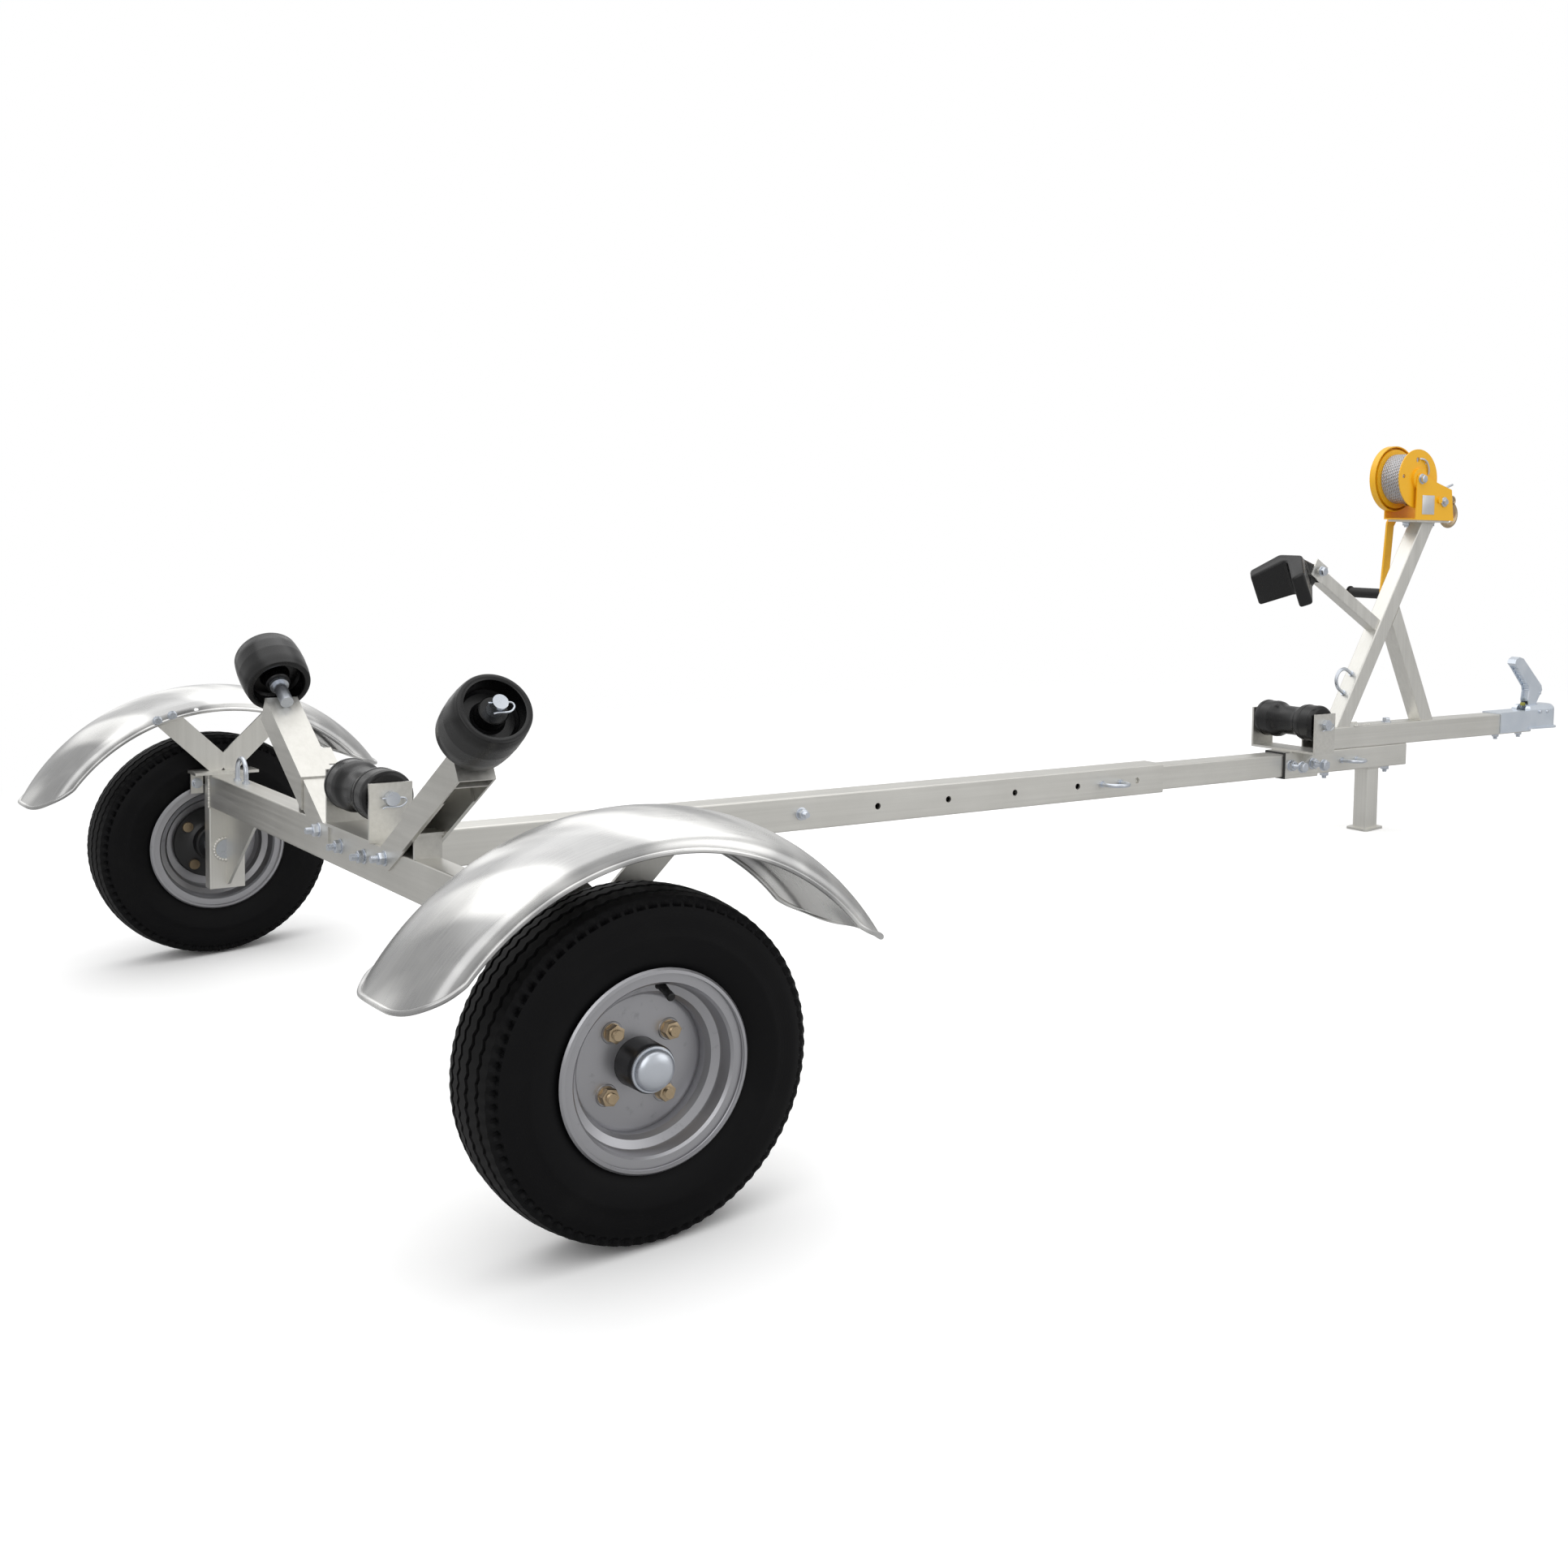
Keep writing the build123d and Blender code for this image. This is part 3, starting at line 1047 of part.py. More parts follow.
# ---- coupling ----
def coupling_body():
    """The pressed coupling: a channel over the upper tube and a head with the ball's socket."""
    wall = COUPLING_SHEET
    inside = TUBE_SIZE / 2 + COUPLING_SLIDE
    outer = inside + wall
    top = UPPER_TOP + COUPLING_SLIDE + wall
    low = TUBE_TOP + COUPLING_SKIRT
    channel = block(COUPLING_REAR, HEAD_REAR + wall, -outer, outer, low, top)
    channel -= block(COUPLING_REAR - PAST, HEAD_REAR + wall + PAST, -inside, inside, low - PAST, top - wall)
    plan = Pos(HEAD_CENTRE, 0, 0) * Circle(HEAD_RADIUS)
    plan += make_face(Polyline([
        (HEAD_REAR, -outer), (HEAD_CENTRE, -HEAD_RADIUS), (HEAD_CENTRE, HEAD_RADIUS), (HEAD_REAR, outer),
    ], close=True))
    head = Pos(0, 0, HEAD_BOTTOM) * extrude(plan, HEAD_TOP - HEAD_BOTTOM)
    head = fillet(head.faces().sort_by(Axis.Z)[-1].edges(), HEAD_ROUND)
    head += Pos(0, 0, HEAD_BOTTOM) * extrude(offset(plan, HEAD_LIP), HEAD_LIP_PLATE)
    rear, front = HEAD_REAR - HEAD_LIP - PAST, UPPER_FRONT + COUPLING_SLIDE
    head -= block(rear, front, -inside, inside, HEAD_BOTTOM - PAST, top - wall)
    socket = Pos(BALL_X, 0, HEAD_BOTTOM + BALL_DEPTH / 2) * Cylinder(BALL_RADIUS, BALL_DEPTH + PAST)
    socket += Pos(BALL_X, 0, HEAD_BOTTOM + BALL_DEPTH) * Sphere(BALL_RADIUS)
    body = channel + head - socket
    slot = LEVER_HALF_WIDTH + LEVER_SLOT_GAP
    rear, front = LEVER_X - LEVER_SLOT_REAR, LEVER_X + LEVER_SLOT_FRONT
    body -= block(rear, front, -slot, slot, LEVER_Z - LEVER_SLOT_DEPTH, HEAD_TOP + PAST)
    return body + rod_y(LEVER_X, LEVER_Z, -slot - PAST, slot + PAST, LEVER_PIN)


def coupling_lever():
    """The release lever, raised, on the pin through the head: a sheet folded open at its back."""
    half, cheek = LEVER_HALF_WIDTH, LEVER_HALF_WIDTH - LEVER_SHEET
    lever = plate_y([(LEVER_X + x, LEVER_Z + z) for x, z in LEVER_OUTLINE], -half, half)
    lever -= plate_y([(LEVER_X + x, LEVER_Z + z) for x, z in LEVER_HOLLOW], -cheek, cheek)
    return lever - rod_y(LEVER_X, LEVER_Z, -half - PAST, half + PAST, LEVER_PIN + LEVER_FIT)


# ---- lashing rings ----
def lashing_ring():
    """A bent rod with welded ends, standing on the origin: its width along X, its reach along Z."""
    half = RING_WIDTH / 2
    straight = RING_REACH - half
    path = Plane.XZ * (
        Line((-half, 0), (-half, straight))
        + ThreePointArc((-half, straight), (0, RING_REACH), (half, straight))
        + Line((half, straight), (half, 0))
    )
    rod = sweep(Plane.XY * Pos(-half, 0, 0) * Circle(RING_ROD), path)
    for side in (-1, 1):
        rod += Pos(side * half, 0, RING_WELD / 2) * Cylinder(RING_WELD_RADIUS, RING_WELD)
    return rod


def lashing_rings():
    """All the rings on the chassis."""
    side = -DRAWBAR_SIZE / 2
    post_z = UPPER_TOP + POST_RING_UP
    turn = math.radians(POST_ANGLE)
    post_x = post_line(post_z) - POST_SIZE / 2 / math.sin(turn)
    places = [
        Pos(BEAM_X, BEAM_RING_Y, DRAWBAR_TOP) * Rot(0, 0, 90),
        Pos(BEAM_X, -BEAM_RING_Y, DRAWBAR_TOP) * Rot(0, 0, 90),
        Pos(DRAWBAR_RING_X, side, DRAWBAR_Z) * Rot(90, 0, 0),
        Pos(TUBE_RING_X, -TUBE_SIZE / 2, DRAWBAR_Z) * Rot(90, 0, 0),
        Pos(post_x, 0, post_z) * Rot(0, -POST_ANGLE, 0),
    ]
    return Compound(children=[place * lashing_ring() for place in places])


# ---- assembly ----
def placed(location, piece):
    """Moves each solid of a piece, and keeps several as one compound."""
    solids = [location * solid for solid in piece.solids()]
    return solids[0] if len(solids) == 1 else Compound(children=solids)


def park_location():
    """Leans the chassis about the axle until the foot of the leg stands on the floor."""
    return Pos(0, 0, AXLE_HEIGHT) * Rot(0, PARK_ANGLE, 0)


def chassis_pieces():
    """Every piece of the chassis and what turns on it, built level, by node."""
    pieces = {
        "crossbeam": crossbeam(),
        "uprights": both_sides(upright()),
        "stub_axles": both_sides(stub_axle()),
        "arm_cleats": both_sides(arm_cleat()),
        "rear_keel_bracket": keel_bracket(REAR_BRACKET_X, DRAWBAR_TOP),
        "rear_keel_roller": keel_roller(REAR_BRACKET_X, DRAWBAR_TOP),
        "front_keel_bracket": keel_bracket(SLEEVE_X, SLEEVE_TOP),
        "front_keel_roller": keel_roller(SLEEVE_X, SLEEVE_TOP),
        "drawbar_outer": drawbar_outer(),
        "drawbar_inner": drawbar_inner(),
        "drawbar_upper": drawbar_upper(),
        "clamp_sleeve": clamp_sleeve(),
        "stand_leg": stand_leg(),
        "winch_post": winch_post(),
        "winch_brace": winch_brace(),
        "bow_arm": bow_arm(),
        "bow_stop": bow_stop(),
        "winch_mount": winch_mount(),
        "winch_frame": winch_frame(),
        "winch_cover": winch_cover(),
        "winch_drum": winch_drum(),
        "winch_cable": winch_cable(),
        "winch_crank": winch_crank(),
        "crank_grip": crank_grip(),
        "winch_hook": winch_hook(),
        "coupling_body": coupling_body(),
        "coupling_lever": coupling_lever(),
        "lashing_rings": lashing_rings(),
    }
    pins = [side_pin(), mirrored(side_pin())]
    pins += [keel_pin(REAR_BRACKET_X, DRAWBAR_TOP), keel_pin(SLEEVE_X, SLEEVE_TOP)]
    pieces["roller_pins"] = Compound(children=pins)
    handed = {
        "mudguard_bracket": mudguard_bracket(),
        "arm_saddle": arm_saddle(),
        "arm_channel": arm_channel(),
        "side_roller": side_roller(),
    }
    for side, hand, _, lean in WHEELS:
        guard = mudguard(lean)
        pieces[f"mudguard_{side}"] = guard if hand > 0 else mirrored(guard)
        for name, solid in handed.items():
            pieces[f"{name}_{side}"] = solid if hand > 0 else mirrored(solid)
    return pieces


def wheel_pieces():
    """The two wheels, upright on the axle line, by node."""
    pieces = {}
    for side, hand, turn, _ in WHEELS:
        for name, solid in (("tyre", tyre()), ("rim", rim()), ("hub", hub())):
            outward = solid if hand > 0 else mirrored(solid)
            pieces[f"{name}_{side}"] = Pos(0, hand * HALF_TRACK, AXLE_HEIGHT) * Rot(0, turn, 0) * outward
    return pieces


def assemble():
    """All the nodes in the trailer's own frame, centred over the floor, and the shift that did it."""
    pieces = {name: placed(park_location(), solid) for name, solid in chassis_pieces().items()}
    pieces.update(wheel_pieces())
    boxes = [solid.bounding_box() for solid in pieces.values()]
    shift = -(min(box.min.X for box in boxes) + max(box.max.X for box in boxes)) / 2
    return {name: placed(Pos(shift, 0, 0), solid) for name, solid in pieces.items()}, shift


def main():
    """Writes one STEP file for each node."""
    os.makedirs("parts", exist_ok=True)
    pieces, shift = assemble()
    for name, solid in pieces.items():
        export_step(solid, f"parts/{name}.step")
    print(f"{len(pieces)} nodes, parked at {PARK_ANGLE:.3f} degrees, shifted by {shift:.3f} mm")


if __name__ == "__main__":
    main()
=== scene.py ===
"""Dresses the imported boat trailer: detailed pieces, finishes, studio and camera."""

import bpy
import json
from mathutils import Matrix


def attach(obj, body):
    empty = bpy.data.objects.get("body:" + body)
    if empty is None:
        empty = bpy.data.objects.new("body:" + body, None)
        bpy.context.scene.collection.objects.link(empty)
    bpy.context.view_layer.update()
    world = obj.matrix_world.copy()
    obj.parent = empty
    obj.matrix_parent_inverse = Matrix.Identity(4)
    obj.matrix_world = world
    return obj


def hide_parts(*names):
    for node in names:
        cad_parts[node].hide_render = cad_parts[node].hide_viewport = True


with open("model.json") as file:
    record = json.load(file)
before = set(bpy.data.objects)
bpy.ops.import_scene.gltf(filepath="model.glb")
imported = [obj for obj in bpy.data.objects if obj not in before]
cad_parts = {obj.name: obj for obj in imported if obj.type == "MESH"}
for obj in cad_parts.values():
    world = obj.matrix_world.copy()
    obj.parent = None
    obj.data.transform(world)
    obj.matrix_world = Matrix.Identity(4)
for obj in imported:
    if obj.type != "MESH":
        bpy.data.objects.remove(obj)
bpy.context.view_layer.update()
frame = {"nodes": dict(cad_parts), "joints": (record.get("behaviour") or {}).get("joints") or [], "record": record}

import json
import logging
import math
from dataclasses import dataclass, field
from enum import Enum
from typing import Callable, Iterable, Optional, Sequence, Union

import bmesh
import bpy
from mathutils import Matrix, Vector

logging.basicConfig(level=logging.INFO, format="%(message)s")
LOG = logging.getLogger("trailer")

Point = tuple[float, float, float]
Colour = tuple[float, float, float]
Flat = tuple[float, float]
Mesh = bmesh.types.BMesh
Material = bpy.types.Material
MM = 0.001
SHARP = 60.0


# ---------------------------------------------------------------- where things are
def joint_place(name: str) -> Vector:
    """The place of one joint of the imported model.

    Args:
        name: the joint's name.

    Returns:
        Its position in metres.
    """
    for joint in frame["joints"]:
        if joint["name"] == name:
            return Vector(joint["pos_m"])
    raise KeyError(name)


def park_angle() -> float:
    """How far the chassis leans nose down, from the coupling socket's axis.

    Returns:
        The angle in radians.
    """
    for mount in frame["record"]["mounts"]:
        if mount["name"] == "coupling_socket":
            return math.atan2(-mount["axis"][0], -mount["axis"][2])
    raise KeyError("coupling_socket")


AXLE = joint_place("wheel_left_spin")
PITCH = park_angle()
CHASSIS = Matrix.Translation((AXLE.x, 0.0, AXLE.z)) @ Matrix.Rotation(PITCH, 4, "Y") @ Matrix.Scale(MM, 4)


def placed(at: Sequence[float], axis: str = "Y", degrees: float = 0.0, hand: int = 1) -> Matrix:
    """A place with a turn about one axis.

    Args:
        at: the place.
        axis: the axis of the turn.
        degrees: the turn.
        hand: -1 to mirror it across the middle plane, so that +Y is outboard on the right too.

    Returns:
        The matrix.
    """
    mirror = Matrix.Diagonal((1.0, float(hand), 1.0, 1.0))
    return Matrix.Translation(at) @ mirror @ Matrix.Rotation(math.radians(degrees), 4, axis)


class Side(Enum):
    """The two sides of the trailer, with the sign of their Y."""

    LEFT = 1
    RIGHT = -1

    @property
    def word(self) -> str:
        """The side's name in node names."""
        return self.name.lower()


# ---------------------------------------------------------------- shader maths
class Wire:
    """One shader value, with maths written as Python expressions."""

    def __init__(self, tree: bpy.types.NodeTree, socket: bpy.types.NodeSocket) -> None:
        """Wraps an output socket.

        Args:
            tree: the node tree.
            socket: the output.
        """
        self.tree = tree
        self.socket = socket

    def maths(self, operation: str, other: "Union[Wire, float, None]" = None, swap: bool = False) -> "Wire":
        """Adds one Math node.

        Args:
            operation: the Math node's operation.
            other: the second value.
            swap: whether the second value comes first.

        Returns:
            The result.
        """
        node = self.tree.nodes.new("ShaderNodeMath")
        node.operation = operation
        mine, theirs = (1, 0) if swap else (0, 1)
        self.tree.links.new(self.socket, node.inputs[mine])
        if isinstance(other, Wire):
            self.tree.links.new(other.socket, node.inputs[theirs])
        elif other is not None:
            node.inputs[theirs].default_value = other
        return Wire(self.tree, node.outputs[0])

    def __add__(self, other: "Union[Wire, float]") -> "Wire":
        """The sum."""
        return self.maths("ADD", other)

    __radd__ = __add__

    def __mul__(self, other: "Union[Wire, float]") -> "Wire":
        """The product."""
        return self.maths("MULTIPLY", other)

    __rmul__ = __mul__

    def __sub__(self, other: "Union[Wire, float]") -> "Wire":
        """The difference."""
        return self.maths("SUBTRACT", other)

    def __rsub__(self, other: float) -> "Wire":
        """The difference the other way round."""
        return self.maths("SUBTRACT", other, swap=True)

    def __pow__(self, other: float) -> "Wire":
        """The power."""
        return self.maths("POWER", other)

    def held(self) -> "Wire":
        """The value kept between 0 and 1.

        Returns:
            The clamped value.
        """
        result = self.maths("ADD", 0.0)
        result.socket.node.use_clamp = True
        return result

    def between(self, low: float, high: float) -> "Wire":
        """A smooth step from 0 to 1.

        Args:
            low: where it leaves 0.
            high: where it reaches 1.

        Returns:
            The step.
        """
        node = self.tree.nodes.new("ShaderNodeMapRange")
        node.interpolation_type = "SMOOTHSTEP"
        self.tree.links.new(self.socket, node.inputs["Value"])
        node.inputs["From Min"].default_value = low
        node.inputs["From Max"].default_value = high
        return Wire(self.tree, node.outputs["Result"])


class Recipe:
    """Builds one material's node tree."""

    def __init__(self, name: str) -> None:
        """Starts an empty material with a Principled shader.

        Args:
            name: the material's name.
        """
        self.material = bpy.data.materials.new(name)
        self.material.use_nodes = True
        self.tree = self.material.node_tree
        self.shader = self.tree.nodes["Principled BSDF"]
        coordinates = self.tree.nodes.new("ShaderNodeTexCoord")
        self.object = Wire(self.tree, coordinates.outputs["Object"])

    def node(self, kind: str, settings: Optional[dict] = None, out: Union[str, int] = 0, **sockets) -> Wire:
        """Adds any other node.

        Args:
            kind: the node's type without its ShaderNode prefix.
            settings: its settings, set first.
            out: the output wanted.
            sockets: values or wires for its inputs, with underscores for spaces.

        Returns:
            The output.
        """
        node = self.tree.nodes.new("ShaderNode" + kind)
        for key, value in (settings or {}).items():
            setattr(node, key, value)
        for key, value in sockets.items():
            name = key.replace("_", " ")
            socket = next(each for each in node.inputs if each.name == name and each.enabled)
            if isinstance(value, Wire):
                self.tree.links.new(value.socket, socket)
            else:
                socket.default_value = value
        outputs = [each for each in node.outputs if each.enabled]
        return Wire(self.tree, outputs[out] if isinstance(out, int) else node.outputs[out])

    def mapped(self, scale: Point, turn: Point = (0.0, 0.0, 0.0)) -> Wire:
        """Object coordinates turned and stretched for a pattern.

        Args:
            scale: the stretch along each axis.
            turn: the turn in radians.

        Returns:
            The pattern's coordinates.
        """
        turned = self.node("Mapping", Vector=self.object, Rotation=turn)
        return self.node("Mapping", Vector=turned, Scale=scale)

    def local(self, centre: Point) -> tuple[Wire, ...]:
        """Object coordinates from a place.

        Args:
            centre: the place in metres.

        Returns:
            x, y and z.
        """
        moved = self.node("Mapping", Vector=self.object, Location=tuple(-c for c in centre))
        split = self.tree.nodes.new("ShaderNodeSeparateXYZ")
        self.tree.links.new(moved.socket, split.inputs[0])
        return tuple(Wire(self.tree, output) for output in split.outputs)

    def noise(
        self, scale: float, detail: float = 3.0, where: Optional[Wire] = None, rough: float = 0.5
    ) -> Wire:
        """Noise as a number.

        Args:
            scale: its scale per metre.
            detail: its octaves.
            where: its coordinates.
            rough: how strong the finer octaves are.

        Returns:
            The noise.
        """
        return self.node("TexNoise", Vector=where or self.object, Scale=scale, Detail=detail, Roughness=rough)

    def mix(
        self, factor: Union[Wire, float], first: Union[Wire, Colour], second: Union[Wire, Colour]
    ) -> Wire:
        """Mixes two colours.

        Args:
            factor: the second colour's share.
            first: the colour at 0.
            second: the colour at 1.

        Returns:
            The mixed colour.
        """
        node = self.tree.nodes.new("ShaderNodeMix")
        node.data_type = "RGBA"
        for place, value in ((0, factor), (6, first), (7, second)):
            if isinstance(value, Wire):
                self.tree.links.new(value.socket, node.inputs[place])
            else:
                node.inputs[place].default_value = (*value, 1.0) if place else value
        return Wire(self.tree, node.outputs[2])

    def bump(self, height: Wire, strength: float, distance: float) -> Wire:
        """A bumped normal from a height.

        Args:
            height: the height.
            strength: how much of it shows.
            distance: its depth in metres.

        Returns:
            The normal.
        """
        return self.node("Bump", Height=height, Strength=strength, Distance=distance)

    def finish(self, fixed: Optional[dict[str, float]] = None, **varying: Wire) -> Material:
        """Sets the shader's sockets.

        Args:
            fixed: constants by the socket's name.
            varying: wires, with underscores for spaces.

        Returns:
            The material.
        """
        for key, value in (fixed or {}).items():
            self.shader.inputs[key].default_value = value
        for key, wire in varying.items():
            self.tree.links.new(wire.socket, self.shader.inputs[key.replace("_", " ")])
        return self.material


# ---------------------------------------------------------------- finishes
@dataclass(frozen=True)
class Metal:
    """A bare or plated metal with speckle, cloudy patches and long drawn streaks."""

    name: str
    slot: str
    light: Colour
    dark: Colour
    rough: float = 0.38
    metallic: float = 0.85
    speckle: float = 900.0
    cloud: float = 9.0
    streak: Point = (2.0, 160.0, 160.0)
    grain: float = 0.12
    mottle: float = 0.35

    def build(self) -> Material:
        """Makes the material.

        Returns:
            The material.
        """
        r = Recipe(self.name)
        cloud = r.noise(self.cloud, 4.0)
        speckle = r.noise(self.speckle, 2.0, rough=0.7)
        streak = r.noise(1.0, 4.0, r.mapped(self.streak, turn=(0.0, -PITCH, 0.0)))
        blend = (cloud * 0.5 + speckle * self.mottle + streak * 0.55 - 0.2).held()
        colour = r.mix(blend, self.dark, self.light)
        rough = (streak * 0.22 + speckle * 0.12 + (self.rough - 0.17)).held()
        height = speckle * 0.6 + streak * 0.4
        return r.finish(
            {"Metallic": self.metallic}, Base_Color=colour, Roughness=rough,
            Normal=r.bump(height, self.grain, 0.0004),
        )


@dataclass(frozen=True)
class GuardMetal:
    """Rolled aluminium sheet with a fine rolled grain, smudges and painted reflections: long bright and dull bands
    that follow the arch.
    """

    name: str
    slot: str
    centre: Point
    # The bright and dull colours of the painted reflection bands.
    light: Colour = (0.92, 0.915, 0.895)
    dark: Colour = (0.36, 0.36, 0.36)

    def build(self) -> Material:
        """Makes the material.

        Returns:
            The material.
        """
        r = Recipe(self.name)
        x, y, z = r.local(self.centre)
        radius = (x * x + z * z) ** 0.5
        angle = x.maths("ARCTAN2", z)
        bands = r.node("CombineXYZ", X=angle * 3.4 + y * 9.0, Y=y * 7.0, Z=radius * 16.0)
        # Wide bands along the arch are painted reflections of the polished sheet; the fine streaks are its rolled
        # grain and the smear its smudges.
        painted_reflection_bands = r.noise(0.9, 2.0, bands, 0.4)
        fine = r.noise(1.0, 4.0, r.node("CombineXYZ", X=angle * 4.0, Y=y * 420.0, Z=radius * 420.0), 0.6)
        smear = r.noise(26.0, 4.0, rough=0.6)
        blend = (painted_reflection_bands.between(0.40, 0.60) * 0.75 + fine * 0.25 + smear * 0.15 - 0.06).held()
        return r.finish(
            {"Metallic": 1.0}, Base_Color=r.mix(blend, self.dark, self.light),
            Roughness=(fine * 0.14 + smear * 0.14 + 0.15).held(), Normal=r.bump(fine, 0.06, 0.0004),
        )


@dataclass(frozen=True)
class Paint:
    """A sprayed paint with a slight orange peel and a little wear."""

    name: str
    slot: str
    colour: Colour
    worn: Colour
    rough: float = 0.3
    metallic: float = 0.0
    flake: float = 0.0
    coat: float = 0.2

    def build(self) -> Material:
        """Makes the material.

        Returns:
            The material.
        """
        r = Recipe(self.name)
        cloud = r.noise(14.0, 4.0)
        peel = r.noise(650.0, 2.0)
        flake = r.noise(3200.0, 1.0)
        wear = r.noise(60.0, 5.0, rough=0.65).between(0.60, 0.74)
        colour = r.mix((wear * 0.5 + cloud * 0.18).held(), self.colour, self.worn)
        rough = (cloud * 0.14 + flake * self.flake * 0.3 + (self.rough - 0.07)).held()
        height = peel + flake * self.flake
        return r.finish(
            {"Metallic": self.metallic, "Coat Weight": self.coat, "Coat Roughness": 0.15},
            Base_Color=colour, Roughness=rough, Normal=r.bump(height, 0.06, 0.0003),
        )


@dataclass(frozen=True)
class Rubber:
    """Moulded rubber or plastic with a fine grain, handling marks and dust."""

    name: str
    slot: str
    colour: Colour
    dusty: Colour
    rough: float = 0.5
    grain: float = 700.0
    depth: float = 0.25

    def build(self) -> Material:
        """Makes the material.

        Returns:
            The material.
        """
        r = Recipe(self.name)
        cloud = r.noise(22.0, 5.0, rough=0.6)
        grain = r.noise(self.grain, 3.0)
        scuff = r.noise(1.0, 4.0, r.mapped((60.0, 60.0, 400.0)), 0.6)
        dust = (cloud.between(0.45, 0.75) * 0.5 + scuff.between(0.55, 0.8) * 0.35).held()
        return r.finish(
            {"Metallic": 0.0, "Specular IOR Level": 0.45},
            Base_Color=r.mix(dust, self.colour, self.dusty),
            Roughness=(cloud * 0.22 + (self.rough - 0.1)).held(),
            Normal=r.bump(grain, self.depth, 0.0004),
        )


@dataclass(frozen=True)
class TyreRubber:
    """Black tyre rubber with fine moulded rings on its sidewall and a dusty crown."""

    name: str
    slot: str
    centre: Point

    def build(self) -> Material:
        """Makes the material.

        Returns:
            The material.
        """
        r = Recipe(self.name)
        x, _, z = r.local(self.centre)
        radius = (x * x + z * z) ** 0.5
        rings = (radius * 2600.0).maths("SINE")
        on_wall = radius.between(0.150, 0.156) * (1.0 - radius.between(0.176, 0.182))
        grain = r.noise(1100.0, 3.0)
        cloud = r.noise(18.0, 5.0, rough=0.6)
        dust = (cloud.between(0.45, 0.8) * 0.35 + radius.between(0.19, 0.205) * 0.25).held()
        colour = r.mix(dust, (0.0022, 0.0022, 0.0027), (0.009, 0.009, 0.009))
        height = grain * 0.5 + rings * on_wall * 0.25
        return r.finish(
            {"Metallic": 0.0, "Specular IOR Level": 0.15},
            Base_Color=colour, Roughness=(cloud * 0.2 + 0.48).held(), Normal=r.bump(height, 0.25, 0.0004),
        )


@dataclass(frozen=True)
class WireRope:
    """Galvanised wire rope, whose strands lie at an angle round the drum, with painted shade in the grooves
    between them.
    """

    name: str
    slot: str
    centre: Point
    strands: float = 44.0

    def build(self) -> Material:
        """Makes the material.

        Returns:
            The material.
        """
        r = Recipe(self.name)
        x, y, z = r.local(self.centre)
        angle = x.maths("ARCTAN2", z)
        # The lay bumps the strands and darkens the grooves between them towards the dark colour: painted shade.
        lay_and_groove_shade = (angle * self.strands + y * 1500.0).maths("SINE") * 0.5 + 0.5
        shade = r.noise(140.0, 3.0)
        blend = (lay_and_groove_shade * 0.6 + shade * 0.4).held()
        return r.finish(
            {"Metallic": 0.8}, Base_Color=r.mix(blend, (0.20, 0.20, 0.21), (0.86, 0.86, 0.88)),
            Roughness=(shade * 0.2 + 0.3).held(), Normal=r.bump(lay_and_groove_shade, 0.7, 0.0012),
        )


class Finish(Enum):
    """Every finish on the trailer."""

    STEEL = Metal("galvanised_steel", "galvanised", (0.84, 0.83, 0.79), (0.58, 0.57, 0.53))
    # A darker copy of STEEL: painted shade on the members that run across, whose faces lie in shade; its streaks
    # run across.
    STEEL_ACROSS = Metal(
        "galvanised_steel_across", "galvanised", (0.80, 0.79, 0.75), (0.50, 0.49, 0.455),
        streak=(160.0, 2.0, 160.0),
    )
    # A lighter copy of STEEL: painted light on the upright members, whose faces turn to the light; its streaks run
    # up and down.
    STEEL_UPRIGHT = Metal(
        "galvanised_steel_upright", "galvanised", (0.86, 0.85, 0.81), (0.60, 0.59, 0.55),
        streak=(160.0, 160.0, 2.0),
    )
    ZINC = Metal(
        "bright_zinc", "zinc", (0.82, 0.85, 0.90), (0.52, 0.56, 0.62), rough=0.30, metallic=0.95,
        speckle=300.0, streak=(30.0, 30.0, 30.0), grain=0.02, mottle=0.08,
    )
    PLATED = Metal(
        "coupling_zinc", "zinc", (0.90, 0.93, 0.97), (0.66, 0.73, 0.82), rough=0.34, metallic=0.8,
        speckle=300.0, cloud=22.0, streak=(24.0, 24.0, 24.0), grain=0.01, mottle=0.04,
    )
    SILVER = Paint("silver_rim_paint", "rim_paint", (0.44, 0.44, 0.46), (0.28, 0.28, 0.295), 0.28, 0.85, 0.5)
    # Black paint of the hubs; the same material paints the shadow in the sleeve's mouth.
    BLACK = Paint("black_hub_paint_and_gap_shadow", "hub_paint", (0.006, 0.006, 0.007), (0.02, 0.02, 0.02), 0.42)
    GOLD = Metal(
        "gold_passivate", "hook", (0.66, 0.53, 0.36), (0.34, 0.25, 0.15), rough=0.3, metallic=0.9,
        cloud=60.0, streak=(40.0, 40.0, 40.0), grain=0.05,
    )
    RUBBER = Rubber("roller_rubber", "rubber", (0.0026, 0.0026, 0.0030), (0.013, 0.013, 0.0135), 0.27)
    GRIP = Rubber("grip_plastic", "grip", (0.0045, 0.0045, 0.0045), (0.016, 0.016, 0.016), 0.5)
    YELLOW = Paint("winch_paint", "winch_paint", (1.0, 0.53, 0.012), (0.90, 0.42, 0.012), 0.4)
    GREEN = Paint("indicator_paint", "hook", (0.34, 0.33, 0.05), (0.05, 0.05, 0.02), 0.5)
    PLATE = Metal(
        "plate_aluminium", "zinc", (0.80, 0.80, 0.80), (0.62, 0.62, 0.62), rough=0.35, metallic=0.6,
        streak=(60.0, 60.0, 4.0), grain=0.04,
    )


